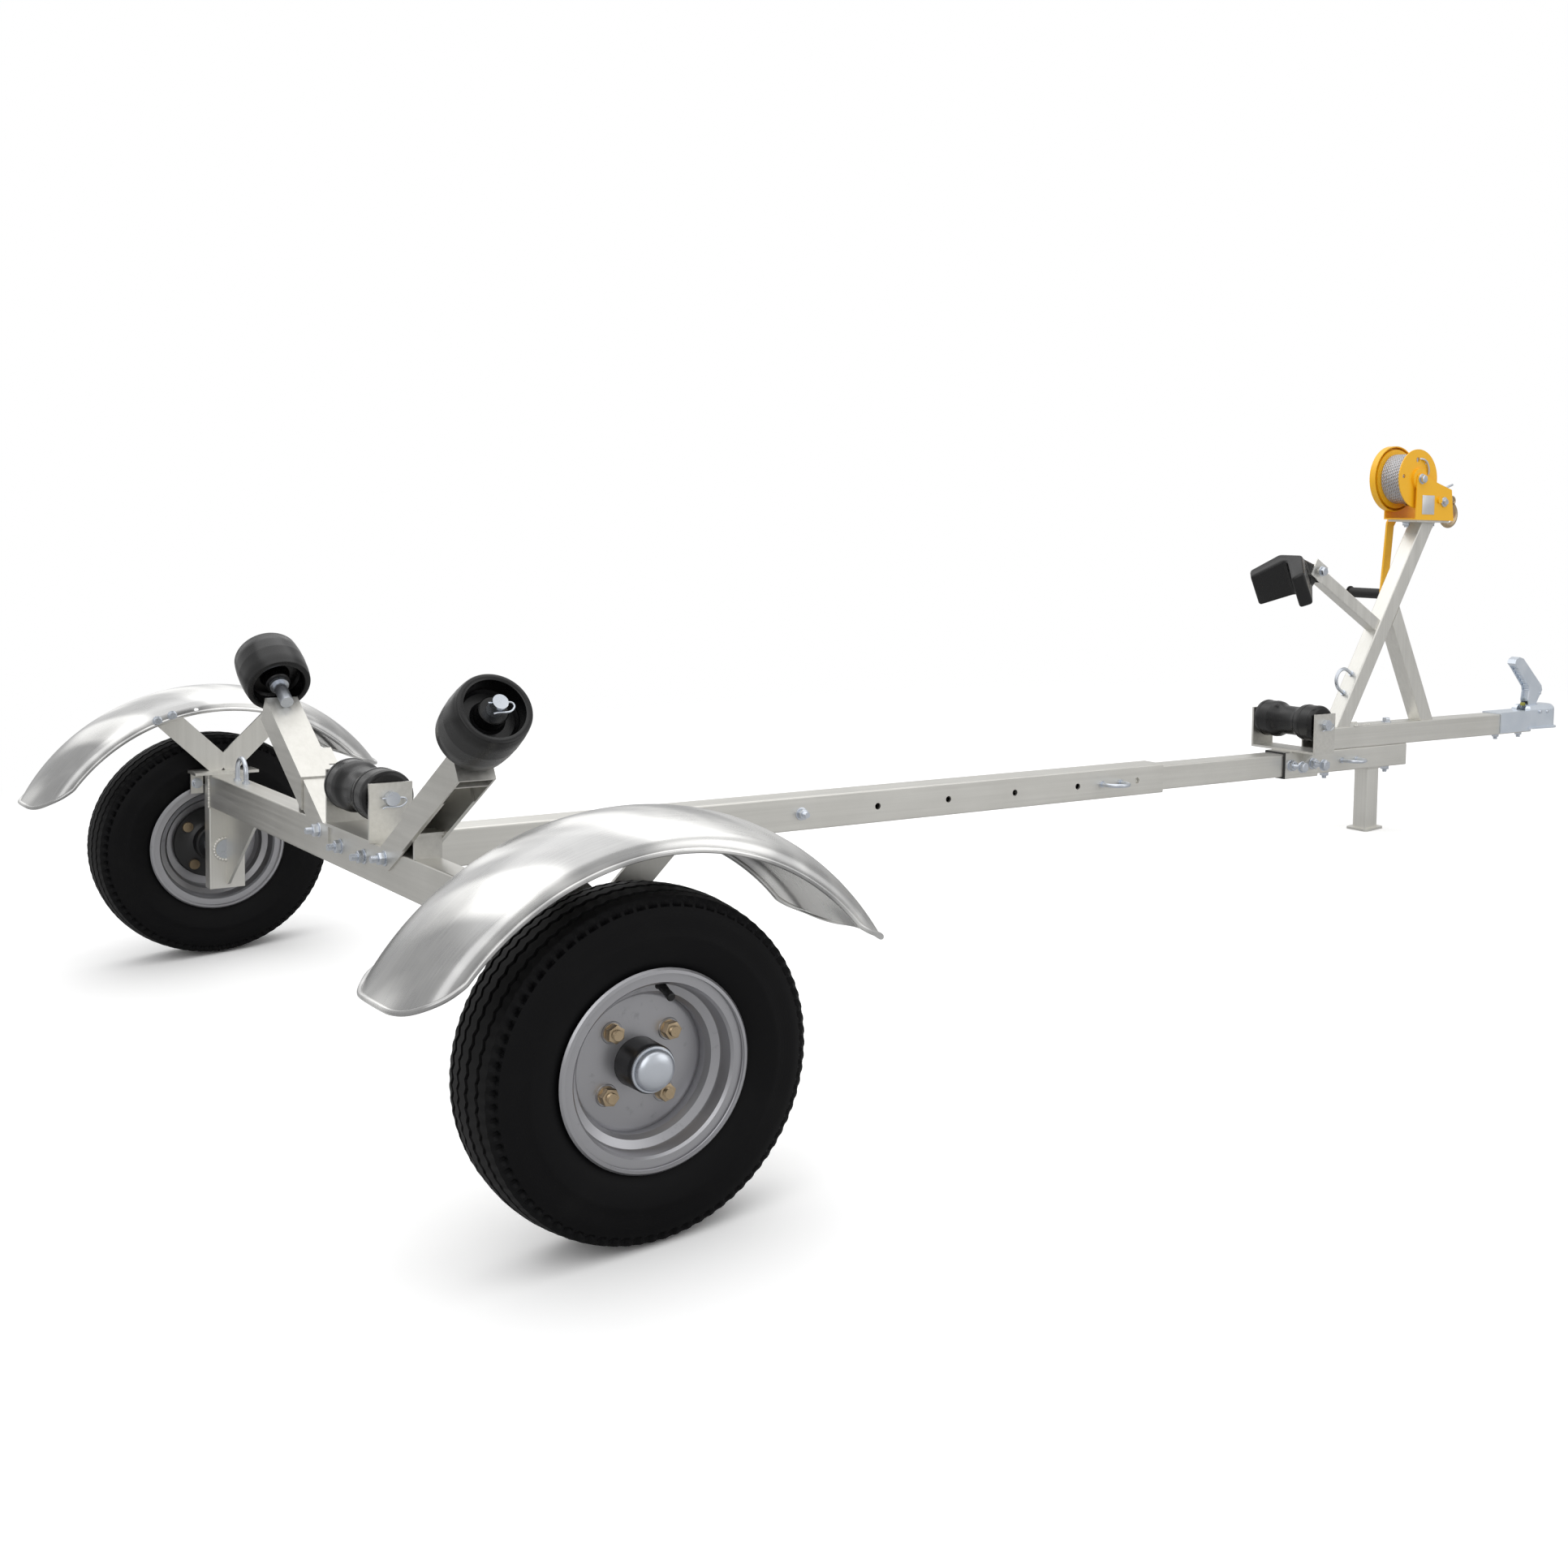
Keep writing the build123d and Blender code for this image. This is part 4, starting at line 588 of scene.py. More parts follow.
class Shelf:
    """Keeps each finish's material once it is made."""

    made: dict[str, Material] = {}

    @classmethod
    def get(cls, finish: object) -> Material:
        """The material of a finish.

        Args:
            finish: an Enum member, or a finish of its own.

        Returns:
            The material.
        """
        recipe = cls.recipe(finish)
        if recipe.name not in cls.made:
            cls.made[recipe.name] = recipe.build()
        return cls.made[recipe.name]

    @staticmethod
    def recipe(finish: object) -> object:
        """The finish itself, taken out of its Enum member."""
        return finish.value if isinstance(finish, Enum) else finish


# ---------------------------------------------------------------- making meshes
def shifted(base: Flat, *points: Flat) -> list[Flat]:
    """Points that are given from a base point."""
    return [(base[0] + x, base[1] + y) for x, y in points]


def mirrored(half: Sequence[Flat]) -> list[Flat]:
    """A profile followed by its mirror image across the middle plane."""
    return [*half, *((-across, radius) for across, radius in half[::-1])]


def picked(geometry: Iterable, kind: type) -> list:
    """The items of one kind in an operator's result."""
    return [item for item in geometry if isinstance(item, kind)]


def spin_profile(bm: Mesh, profile: Sequence[Flat], steps: int, closed: bool = True) -> list:
    """Spins (across, radius) points about the Y axis.

    Args:
        bm: the mesh it goes into.
        profile: the points, across along Y.
        steps: how many steps a full turn has.
        closed: whether the last point joins the first.

    Returns:
        The new vertices.
    """
    before = set(bm.verts)
    ring = [bm.verts.new((0.0, across, radius)) for across, radius in profile]
    edges = [bm.edges.new(pair) for pair in zip(ring, ring[1:])]
    if closed:
        edges.append(bm.edges.new((ring[-1], ring[0])))
    bmesh.ops.spin(
        bm, geom=ring + edges, cent=(0.0, 0.0, 0.0), axis=(0.0, 1.0, 0.0), angle=math.tau,
        steps=steps, use_merge=True,
    )
    new = [vert for vert in bm.verts if vert not in before]
    bmesh.ops.remove_doubles(bm, verts=new, dist=0.001)
    return [vert for vert in bm.verts if vert not in before]


def soften(bm: Mesh, edges: Iterable, width: float, segments: int = 2) -> None:
    """Bevels edges.

    Args:
        bm: the mesh.
        edges: the edges.
        width: the bevel's width in the mesh's units.
        segments: its segments.
    """
    bmesh.ops.bevel(
        bm, geom=list(edges), offset=width, affect="EDGES", segments=segments, profile=0.5, material=-1,
        clamp_overlap=True,
    )


def sharp_edges(bm: Mesh, degrees: float = 30.0) -> list:
    """The edges whose faces meet at more than an angle."""
    limit = math.radians(degrees)
    return [edge for edge in bm.edges if len(edge.link_faces) == 2 and edge.calc_face_angle(0.0) > limit]


def join(bm: Mesh, other: Mesh) -> None:
    """Moves another mesh's geometry into this one and frees it.

    Args:
        bm: the mesh that takes it.
        other: the mesh that is freed.
    """
    mesh = bpy.data.meshes.new("joined")
    other.to_mesh(mesh)
    other.free()
    bm.from_mesh(mesh)
    bpy.data.meshes.remove(mesh)


def add_block(bm: Mesh, low: Point, high: Point) -> None:
    """Adds a block.

    Args:
        bm: the mesh.
        low: its lowest corner.
        high: its highest corner.
    """
    size = [b - a for a, b in zip(low, high)]
    middle = [(a + b) / 2 for a, b in zip(low, high)]
    place = Matrix.Translation(middle) @ Matrix.Diagonal((*size, 1.0))
    bmesh.ops.create_cube(bm, size=1.0, matrix=place)


def add_rod(
    bm: Mesh, start: Point, end: Point, radius: float, segments: int = 32, tip: float = -1.0,
) -> None:
    """Adds a round bar between two points.

    Args:
        bm: the mesh.
        start: the middle of its first end.
        end: the middle of its other end.
        radius: its radius.
        segments: its sides.
        tip: its radius at the other end, if it tapers.
    """
    a, b = Vector(start), Vector(end)
    turn = (b - a).to_track_quat("Z", "Y").to_matrix().to_4x4()
    bmesh.ops.create_cone(
        bm, cap_ends=True, segments=segments, radius1=radius, radius2=radius if tip < 0 else tip,
        depth=(b - a).length, matrix=Matrix.Translation((a + b) / 2) @ turn,
    )


def add_soft_rod(
    bm: Mesh, start: Point, end: Point, radius: float, soft: tuple[float, int], *more: float
) -> None:
    """Adds a round bar with softened ends.

    Args:
        bm: the mesh.
        start: the middle of its first end.
        end: the middle of its other end.
        radius: its radius.
        soft: the width and the segments of the ends' bevel.
        more: its sides, and its radius at the other end.
    """
    own = bmesh.new()
    add_rod(own, start, end, radius, *more)
    soften(own, sharp_edges(own, SHARP), *soft)
    join(bm, own)


def add_prism(bm: Mesh, outline: Iterable[Point], way: Point) -> None:
    """Adds a flat outline drawn out into a prism.

    Args:
        bm: the mesh.
        outline: the outline's points.
        way: how far and which way it is drawn out.
    """
    face = bm.faces.new([bm.verts.new(point) for point in outline])
    made = bmesh.ops.extrude_face_region(bm, geom=[face])
    bmesh.ops.translate(bm, verts=picked(made["geom"], bmesh.types.BMVert), vec=way)


def close_rings(bm: Mesh) -> None:
    """Fills the open rings at both ends of a spun profile.

    Args:
        bm: the mesh.
    """
    edges = [edge for edge in bm.edges if edge.is_boundary]
    for across in sorted({round(edge.verts[0].co.y, 3) for edge in edges}):
        ring = [edge for edge in edges if abs(edge.verts[0].co.y - across) < 0.01]
        bmesh.ops.contextual_create(bm, geom=ring)


def linked(name: str, data: bpy.types.ID) -> bpy.types.Object:
    """A new object of the scene.

    Args:
        name: its name.
        data: its mesh, curve, camera or lamp.

    Returns:
        The object.
    """
    made = bpy.data.objects.new(name, data)
    bpy.context.scene.collection.objects.link(made)
    return made


def rod_path(points: Sequence[Point], radius: float, closed: bool = False, order: int = 3) -> bpy.types.Mesh:
    """A round bar along a smooth curve.

    Args:
        points: the curve's control points.
        radius: the bar's radius.
        closed: whether the curve closes on itself.
        order: the curve's order.

    Returns:
        The bar's mesh.
    """
    curve = bpy.data.curves.new("path", "CURVE")
    curve.dimensions = "3D"
    curve.bevel_depth = radius
    curve.bevel_resolution = 4
    curve.use_fill_caps = True
    curve.resolution_u = 8
    spline = curve.splines.new("NURBS")
    spline.points.add(len(points) - 1)
    for point, place in zip(spline.points, points):
        point.co = (*place, 1.0)
    spline.use_cyclic_u = closed
    spline.order_u = order
    spline.use_endpoint_u = not closed
    holder = linked("path", curve)
    mesh = bpy.data.meshes.new_from_object(holder.evaluated_get(bpy.context.evaluated_depsgraph_get()))
    bpy.data.objects.remove(holder)
    bpy.data.curves.remove(curve)
    return mesh


@dataclass
class Piece:
    """One finished piece on its way into the scene."""

    name: str
    body: str
    finish: object
    place: Matrix = field(default_factory=lambda: CHASSIS.copy())
    replaces: tuple[str, ...] = ()
    smooth: float = 35.0

    def make(self, build: Callable[[Mesh], None]) -> None:
        """Builds the mesh, puts it in its place and lets it ride on its body.

        Args:
            build: what fills the mesh, in millimetres.
        """
        bm = bmesh.new()
        build(bm)
        bmesh.ops.remove_doubles(bm, verts=bm.verts, dist=0.0005)
        bmesh.ops.transform(bm, matrix=self.place, verts=bm.verts)
        bmesh.ops.recalc_face_normals(bm, faces=bm.faces)
        mesh = bpy.data.meshes.new(self.name)
        bm.to_mesh(mesh)
        bm.free()
        mesh.shade_smooth()
        mesh.set_sharp_from_angle(angle=math.radians(self.smooth))
        mesh.materials.append(Shelf.get(self.finish))
        piece = linked(self.name, mesh)
        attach(piece, self.body)
        Shelf.recipe(self.finish).slot
        if self.replaces:
            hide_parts(*self.replaces)
        LOG.info("%s: %d faces on %s", self.name, len(mesh.polygons), self.body)


# ---------------------------------------------------------------- small hardware
@dataclass(frozen=True)
class Bolt:
    """A hexagon bolt head or nut with its washer, and a stub of thread that stands out of it."""

    across: float = 17.0
    height: float = 9.0
    washer: float = 11.5
    sheet: float = 1.8
    thread: float = 5.0
    stub: float = 0.0
    pitch: float = 1.6

    def add(self, bm: Mesh, at: Point, out: Point, turn: float = 0.0) -> None:
        """Adds it to a mesh.

        Args:
            bm: the mesh.
            at: the middle of its seat.
            out: the way it stands out.
            turn: its turn about its own axis, in degrees.
        """
        own = bmesh.new()
        top = self.sheet + self.height
        add_soft_rod(own, (0, 0, -0.2), (0, 0, self.sheet), self.washer, (0.4, 2), 40)
        head = bmesh.new()
        corner = self.across / math.sqrt(3)
        bmesh.ops.create_cone(
            head, cap_ends=True, segments=6, radius1=corner, radius2=corner, depth=self.height,
            matrix=Matrix.Translation((0, 0, self.sheet + self.height / 2)),
        )
        soften(head, sharp_edges(head, 80.0), 0.9, 2)
        join(own, head)
        if self.stub:
            add_rod(own, (0, 0, top - 1), (0, 0, top + self.stub), self.thread, 20)
            for step in range(int(self.stub / self.pitch)):
                self.ridge(own, top + self.pitch * (step + 0.5), 0.45)
        else:
            add_rod(own, (0, 0, top - 0.4), (0, 0, top + 0.5), self.across * 0.42, 28, self.across * 0.38)
        spin = Vector(out).to_track_quat("Z", "Y").to_matrix().to_4x4()
        place = Matrix.Translation(at) @ spin @ Matrix.Rotation(math.radians(turn), 4, "Z")
        bmesh.ops.transform(own, matrix=place, verts=own.verts)
        join(bm, own)

    def ridge(self, bm: Mesh, at: float, reach: float) -> None:
        """One ridge of the thread.

        Args:
            bm: the mesh.
            at: its height along the bolt.
            reach: how far it stands out, and how far it goes each way.
        """
        add_rod(bm, (0, 0, at - reach), (0, 0, at), self.thread, 20, self.thread + reach)
        add_rod(bm, (0, 0, at), (0, 0, at + reach), self.thread + reach, 20, self.thread)


class Fastener(Enum):
    """The sizes of bolt and nut on the trailer, named by where they are."""

    FRAME = Bolt(17.0, 8.0, 11.5, 1.8, 5.0)
    FRAME_NUT = Bolt(17.0, 9.0, 11.5, 1.8, 5.0, 10.0)
    POST_NUT = Bolt(17.0, 9.0, 11.5, 1.8, 5.0, 6.0)
    HEAD_NUT = Bolt(15.0, 7.0, 10.0, 1.6, 5.0, 6.0)
    CLAMP = Bolt(19.8, 9.4, 13.0, 1.8, 5.0)
    WHEEL_NUT = Bolt(19.0, 11.0, 10.8, 0.8, 6.0, 5.0)
    GUARD = Bolt(13.0, 6.0, 8.0, 1.5, 4.0)
    GUARD_NUT = Bolt(13.0, 6.0, 8.0, 1.5, 4.0, 4.0)
    GUARD_TAB = Bolt(15.0, 7.0, 9.5, 1.5, 5.0)
    DRUM_LEFT = Bolt(17.0, 5.0, 12.0, 2.0, 8.0)
    DRUM_RIGHT = Bolt(17.0, 8.0, 12.0, 2.0, 8.0)
    WINCH_SHAFT = Bolt(13.0, 3.0, 11.5, 3.2, 6.0, 3.5)
    WINCH_BASE = Bolt(15.0, 7.0, 10.0, 1.6, 5.0, 4.0)

    def add(self, bm: Mesh, at: Point, out: Point, turn: float = 0.0) -> None:
        """Adds one to a mesh, with the arguments of Bolt.add."""
        self.value.add(bm, at, out, turn)


# ---------------------------------------------------------------- wheels
@dataclass
class Wheel:
    """A tyre on a silver rim with its black hub, grease cap, nuts and valve."""

    side: Side
    turn: float
    radius: float = 205.0
    half_width: float = 61.0
    tread_half: float = 46.0
    groove: float = 5.0
    steps: int = 320
    zigzag: float = 2.2
    lug: float = 4.0
    grooves: Flat = (33.0, 11.0)
    ribs_half: float = 37.5
    lug_foot: float = 188.5
    lug_top: float = 192.5
    rim_flange: float = 118.0
    rim_half: float = 57.0
    seat: float = 101.5
    well: float = 84.0
    disc: float = 8.0
    stud_circle: float = 50.8
    hub_radius: float = 29.0
    hub_end: float = 45.0
    bore: float = 14.05
    valve_at: Point = (8.0, 26.0, 94.5)
    valve_lean: float = -18.0

    @property
    def place(self) -> Matrix:
        """From the wheel's own millimetres, with +Y outboard, to the scene."""
        hand = self.side.value
        return placed((AXLE.x, hand * AXLE.y, AXLE.z), "Y", self.turn, hand) @ Matrix.Scale(MM, 4)

    def build(self) -> None:
        """Makes every piece of the wheel."""
        word = self.side.word
        rubber = TyreRubber(f"tyre_rubber_{word}", "tyre", tuple(self.place.to_translation()))
        self.piece("tyre_dressed", rubber, ("tyre_" + word,), 32.0).make(self.tyre)
        self.piece("rim_dressed", Finish.SILVER, ("rim_" + word,), 28.0).make(self.rim)
        self.piece("hub_dressed", Finish.BLACK, ("hub_" + word,)).make(self.hub)
        self.piece("grease_cap", Finish.ZINC).make(self.cap)
        self.piece("wheel_nuts", Finish.GOLD).make(self.nuts)
        self.piece("valve_stem", Finish.GRIP).make(self.valve)

    def piece(self, name: str, finish: object, replaces: tuple[str, ...] = (), smooth: float = 35.0) -> Piece:
        """A piece that rides on this wheel.

        Args:
            name: its name without the side.
            finish: its finish.
            replaces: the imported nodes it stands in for.
            smooth: the sharpest angle that is shaded smooth, in degrees.

        Returns:
            The piece.
        """
        word = self.side.word
        return Piece(f"{name}_{word}", f"wheel_{word}", finish, self.place, replaces, smooth)

    def studs(self) -> list[Flat]:
        """The (x, z) places of the four studs."""
        turns = [math.radians(90 * place + 45) for place in range(4)]
        return [(self.stud_circle * math.cos(turn), self.stud_circle * math.sin(turn)) for turn in turns]

    def tyre(self, bm: Mesh) -> None:
        """The tyre: sidewalls with raised rings, and ribs between zigzag grooves.

        Args:
            bm: the mesh it goes into.
        """
        half = shifted(
            (self.rim_half - 8.5, self.rim_flange), (0.0, -15.5), (0.0, -2.0), (2.5, 3.0), (6.5, 10.0)
        ) + shifted(
            (self.half_width, 0.0), (-3.2, 136.0), (-1.2, 145.0), (-0.2, 151.0), (0.0, 153.0), (0.0, 156.0),
            (-0.6, 158.0), (-0.9, 168.0), (-1.6, 175.0), (-2.1, 178.5), (-3.5, 183.0), (-5.5, 187.5),
            (-7.0, 189.5), (-6.8, 191.5), (-9.0, 195.5), (-12.0, self.radius - 5.8),
        )
        for middle in self.grooves:
            crown = self.radius - 5.5 * (middle / self.tread_half) ** 2
            foot = -self.groove
            half += shifted((middle, crown), (3.4, -0.4), (2.0, foot), (-2.0, foot), (-3.4, 0.2))
        for vert in spin_profile(bm, mirrored(half), self.steps):
            radius, across = math.hypot(vert.co.x, vert.co.z), vert.co.y
            step = round(math.atan2(vert.co.x, vert.co.z) / math.tau * self.steps)
            if abs(across) < self.ribs_half and radius > self.radius - 16.0:
                vert.co.y += (0.0, 1.0, 0.0, -1.0)[step % 4] * self.zigzag
            elif radius > self.lug_foot:
                notch = (0.0, 1.0, 1.0, 0.0)[(step + (0 if across > 0 else 2)) % 4]
                low = radius < self.lug_top
                vert.co.y -= math.copysign(notch * self.lug * (1.0 if low else 0.45), across)
                if low:
                    scale = 1.0 + (0.5 - notch) * 0.012
                    vert.co.x *= scale
                    vert.co.z *= scale

    def rim(self, bm: Mesh) -> None:
        """The rim: rolled flanges, bead seats, the drop well and the pressed disc.

        Args:
            bm: the mesh it goes into.
        """
        edge, lip = (self.rim_half, self.rim_flange), self.rim_half - 8.0
        half = [
            *shifted((0.0, self.well), (19.0, -3.0), (26.0, 1.4)),
            *shifted((0.0, self.seat), (30.0, -6.6), (33.0, -4.8)),
            *shifted((lip, self.seat), (-0.5, -3.2), (3.0, -0.5)),
            *shifted(edge, (-4.8, -6.0), (-2.8, -3.4), (-2.2, -6.4), (0.0, -6.0), (-0.6, -2.4), (-3.0, 0.0)),
            *shifted(edge, (-5.8, -1.0), (-8.0, -5.0)), (lip, self.seat + 3.0), (lip - 2.0, self.seat),
            (31.0, self.seat - 1.6), (28.0, self.seat - 4.0), (24.0, self.well + 4.0), (20.0, self.well),
        ]
        spin_profile(bm, mirrored(half), 128)
        hole, face = self.hub_radius + 0.3, self.disc
        spin_profile(bm, shifted(
            (face, 0.0), (0.0, hole), (0.0, 76.0), (-0.8, 80.0), (-2.4, 82.4), (-3.6, 83.2), (-4.6, 81.0),
            (-4.0, 76.0), (-4.0, hole),
        ), 128)
        for x, z in self.studs():
            add_rod(bm, (x, face - 0.5, z), (x, face + 0.9, z), 13.6, 40, 12.4)

    def hub(self, bm: Mesh) -> None:
        """The hub: its inboard boss, flange and outboard barrel.

        Args:
            bm: the mesh it goes into.
        """
        back = self.disc - 4.0
        spin_profile(bm, [
            (-34.0, self.bore), (-34.0, 30.0), (-31.0, 33.0), (-9.0, 33.0),
            *shifted((back, 0.0), (-11.0, 38.0), (-9.0, 42.0), (-9.0, 64.5), (-7.5, 66.0), (-1.0, 66.0)),
            *shifted((back, 0.0), (-0.2, 65.0), (-0.2, 29.4), (7.0, self.hub_radius)),
            *shifted((self.hub_end, 0.0), (-8.0, 28.4), (-2.0, 28.4), (0.0, 27.2), (0.0, self.bore)),
        ], 96)

    def cap(self, bm: Mesh) -> None:
        """The domed grease cap with its step and rim.

        Args:
            bm: the mesh it goes into.
        """
        spin_profile(bm, shifted(
            (self.hub_end, 0.0), (-1.0, 26.9), (1.0, 27.0), (2.0, 26.4), (2.4, 24.6), (4.0, 24.2),
            (7.5, 23.4), (10.5, 21.0), (12.8, 16.5), (14.2, 10.0), (14.7, 4.0),
        ), 64, closed=False)
        close_rings(bm)

    def nuts(self, bm: Mesh) -> None:
        """Four studs with their nuts outboard and their heads inboard.

        Args:
            bm: the mesh it goes into.
        """
        for place, (x, z) in enumerate(self.studs()):
            Fastener.WHEEL_NUT.add(bm, (x, self.disc + 0.9, z), (0, 1, 0), 20.0 + 37.0 * place)
            add_rod(bm, (x, self.disc - 18.0, z), (x, self.disc - 13.0, z), 9.0, 28, 9.6)

    def valve(self, bm: Mesh) -> None:
        """The rubber valve stem in the well of the rim.

        Args:
            bm: the mesh it goes into.
        """
        own = bmesh.new()
        spin_profile(own, [
            (0.0, 7.2), (2.5, 7.4), (4.0, 5.6), (14.0, 4.9), (24.0, 4.4), (25.0, 5.0), (33.0, 5.0),
            (34.0, 4.0), (34.0, 1.0),
        ], 24, closed=False)
        close_rings(own)
        bmesh.ops.transform(own, matrix=placed(self.valve_at, "X", self.valve_lean), verts=own.verts)
        join(bm, own)


# ---------------------------------------------------------------- mudguards
@dataclass
class Mudguard:
    """One arched mudguard of thin sheet, the bead rolled round its whole edge, and its bolts."""

    side: Side
    lean: float
    forward: float = 5.0
    drop: float = 59.0
    crown: float = 353.0
    edge: float = 315.0
    half: float = 92.0
    arc: float = 188.33
    shoulder: float = 20.0
    rear: float = 60.6
    front: float = 60.0
    corner: float = 74.0
    hole_angle: float = -5.5
    hole_radius: float = 4.2
    skin: float = 2.0
    bead: float = 3.4
    steps: int = 120
    track_half: float = 850.0
    bolt_circle: float = 322.0
    bolt_angles: Flat = (16.6, 21.3)
    flank: Flat = (758.0, 765.3)
    tab_bolt: Point = (-40.5, 780.0, 120.5)

    def build(self) -> None:
        """Makes the mudguard and its bolts."""
        word, hand = self.side.word, self.side.value
        place = CHASSIS @ placed((self.forward, hand * self.track_half, -self.drop), "Y", -self.lean, hand)
        # The guard's aluminium has painted reflections: bright and dull bands along the arch.
        finish = GuardMetal(f"guard_aluminium_{word}", "guard", tuple(place.to_translation()))
        node = f"mudguard_{word}"
        Piece(f"{node}_dressed", "chassis", finish, place, (node,), 50.0).make(self.sheet)
        Piece(f"mudguard_bolts_{word}", "chassis", Finish.ZINC).make(self.bolts)

    def section(self) -> list[Flat]:
        """The sheet's (radius, across) points from the inboard edge over the crown to the outboard one.

        Returns:
            The points.
        """
        arc_centre = self.crown - self.arc
        across = self.half - self.shoulder
        rise = math.sqrt((self.arc - self.shoulder) ** 2 - across**2)
        lean = math.atan2(across, rise)
        half = [(self.edge, self.half), (arc_centre + rise - 1.0, self.half)]
        for step in range(7):
            turn = math.pi / 2 + (lean - math.pi / 2) * step / 6
            at = (self.shoulder * math.cos(turn), self.shoulder * math.sin(turn))
            half += shifted((arc_centre + rise, across), at)
        for step in range(1, 9):
            turn = lean * (1 - step / 8)
            half.append((arc_centre + self.arc * math.cos(turn), self.arc * math.sin(turn)))
        return [(radius, -y) for radius, y in half] + half[-2::-1]

    def setback(self, run: float, whole: float) -> float:
        """How far an end is drawn back, in millimetres along the arch.

        Args:
            run: the distance from the crown, measured round the section.
            whole: the same distance at the sheet's edge.

        Returns:
            The distance from the end's foremost point.
        """
        over = max(0.0, run - (whole + 2.0 - self.corner))
        return self.corner - math.sqrt(max(self.corner**2 - over**2, 0.0))

    def grid(self) -> list[list[Vector]]:
        """Rows of points along the arch.

        Returns:
            One row for each point of the section.
        """
        section = self.section()
        runs = [0.0]
        for (r0, y0), (r1, y1) in zip(section, section[1:]):
            runs.append(runs[-1] + math.hypot(r1 - r0, y1 - y0))
        whole = runs[-1] / 2
        rows = []
        for (radius, across), run in zip(section, runs):
            back = math.degrees(self.setback(abs(run - whole), whole) / radius)
            row = []
            for step in range(self.steps + 1):
                along = (self.rear + self.front - 2 * back) * step / self.steps
                angle = math.radians(back - self.rear + along)
                row.append(Vector((radius * math.sin(angle), across, radius * math.cos(angle))))
            rows.append(row)
        return rows

    def sheet(self, bm: Mesh) -> None:
        """The sheet with its thickness, and the bead round its edge.

        Args:
            bm: the mesh it goes into.
        """
        rows = self.grid()
        verts = [[bm.verts.new(point) for point in row] for row in rows]
        for low, high in zip(verts, verts[1:]):
            for step in range(self.steps):
                bm.faces.new((low[step], low[step + 1], high[step + 1], high[step]))
        bmesh.ops.recalc_face_normals(bm, faces=bm.faces)
        if max(bm.faces, key=lambda face: face.calc_center_median().z).normal.z < 0:
            bmesh.ops.reverse_faces(bm, faces=bm.faces)
        turn = math.radians(self.hole_angle)
        at = Vector((self.bolt_circle * math.sin(turn), -self.half, self.bolt_circle * math.cos(turn)))
        self.pierce(bm, at, self.hole_radius)
        bmesh.ops.solidify(bm, geom=bm.faces[:], thickness=self.skin)
        loop = rows[0] + [row[-1] for row in rows[1:-1]] + rows[-1][::-1] + [row[0] for row in rows[-2:0:-1]]
        bm.from_mesh(rod_path(loop, self.bead, closed=True))

    @staticmethod
    def pierce(bm: Mesh, at: Vector, radius: float) -> None:
        """Opens a round hole in a sheet of quads.

        Args:
            bm: the sheet.
            at: the hole's middle.
            radius: its radius.
        """
        middle = min(bm.verts, key=lambda vert: (vert.co - at).length)
        ring = {vert for face in middle.link_faces for vert in face.verts} - {middle}
        for vert in ring:
            vert.co = middle.co + (vert.co - middle.co).normalized() * radius
        bmesh.ops.delete(bm, geom=[middle], context="VERTS")

    def bolts(self, bm: Mesh) -> None:
        """The bolts through the inboard flank and its stays, and the bracket's tab bolt.

        Args:
            bm: the mesh it goes into.
        """
        hand, (inner, outer) = self.side.value, self.flank
        for degrees in [sign * angle for sign in (1, -1) for angle in self.bolt_angles]:
            turn, size = math.radians(degrees), abs(degrees)
            x = self.forward + self.bolt_circle * math.sin(turn)
            z = self.bolt_circle * math.cos(turn) - self.drop
            Fastener.GUARD.add(bm, (x, hand * inner, z), (0, -hand, 0), 12.0 * size)
            Fastener.GUARD_NUT.add(bm, (x, hand * outer, z), (0, hand, 0), 9.0 * size)
        x, y, z = self.tab_bolt
        Fastener.GUARD_TAB.add(bm, (x, hand * y, z), (0, -hand, 0), 11.0)


def dress(finish: object, *nodes: str) -> None:
    """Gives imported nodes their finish.

    Args:
        finish: the finish.
        nodes: the nodes' names.
    """
    for node in nodes:
        packed = frame["nodes"][node]
        packed.data.materials.clear()
        packed.data.materials.append(Shelf.get(finish))
        LOG.info("dressed %s", node)


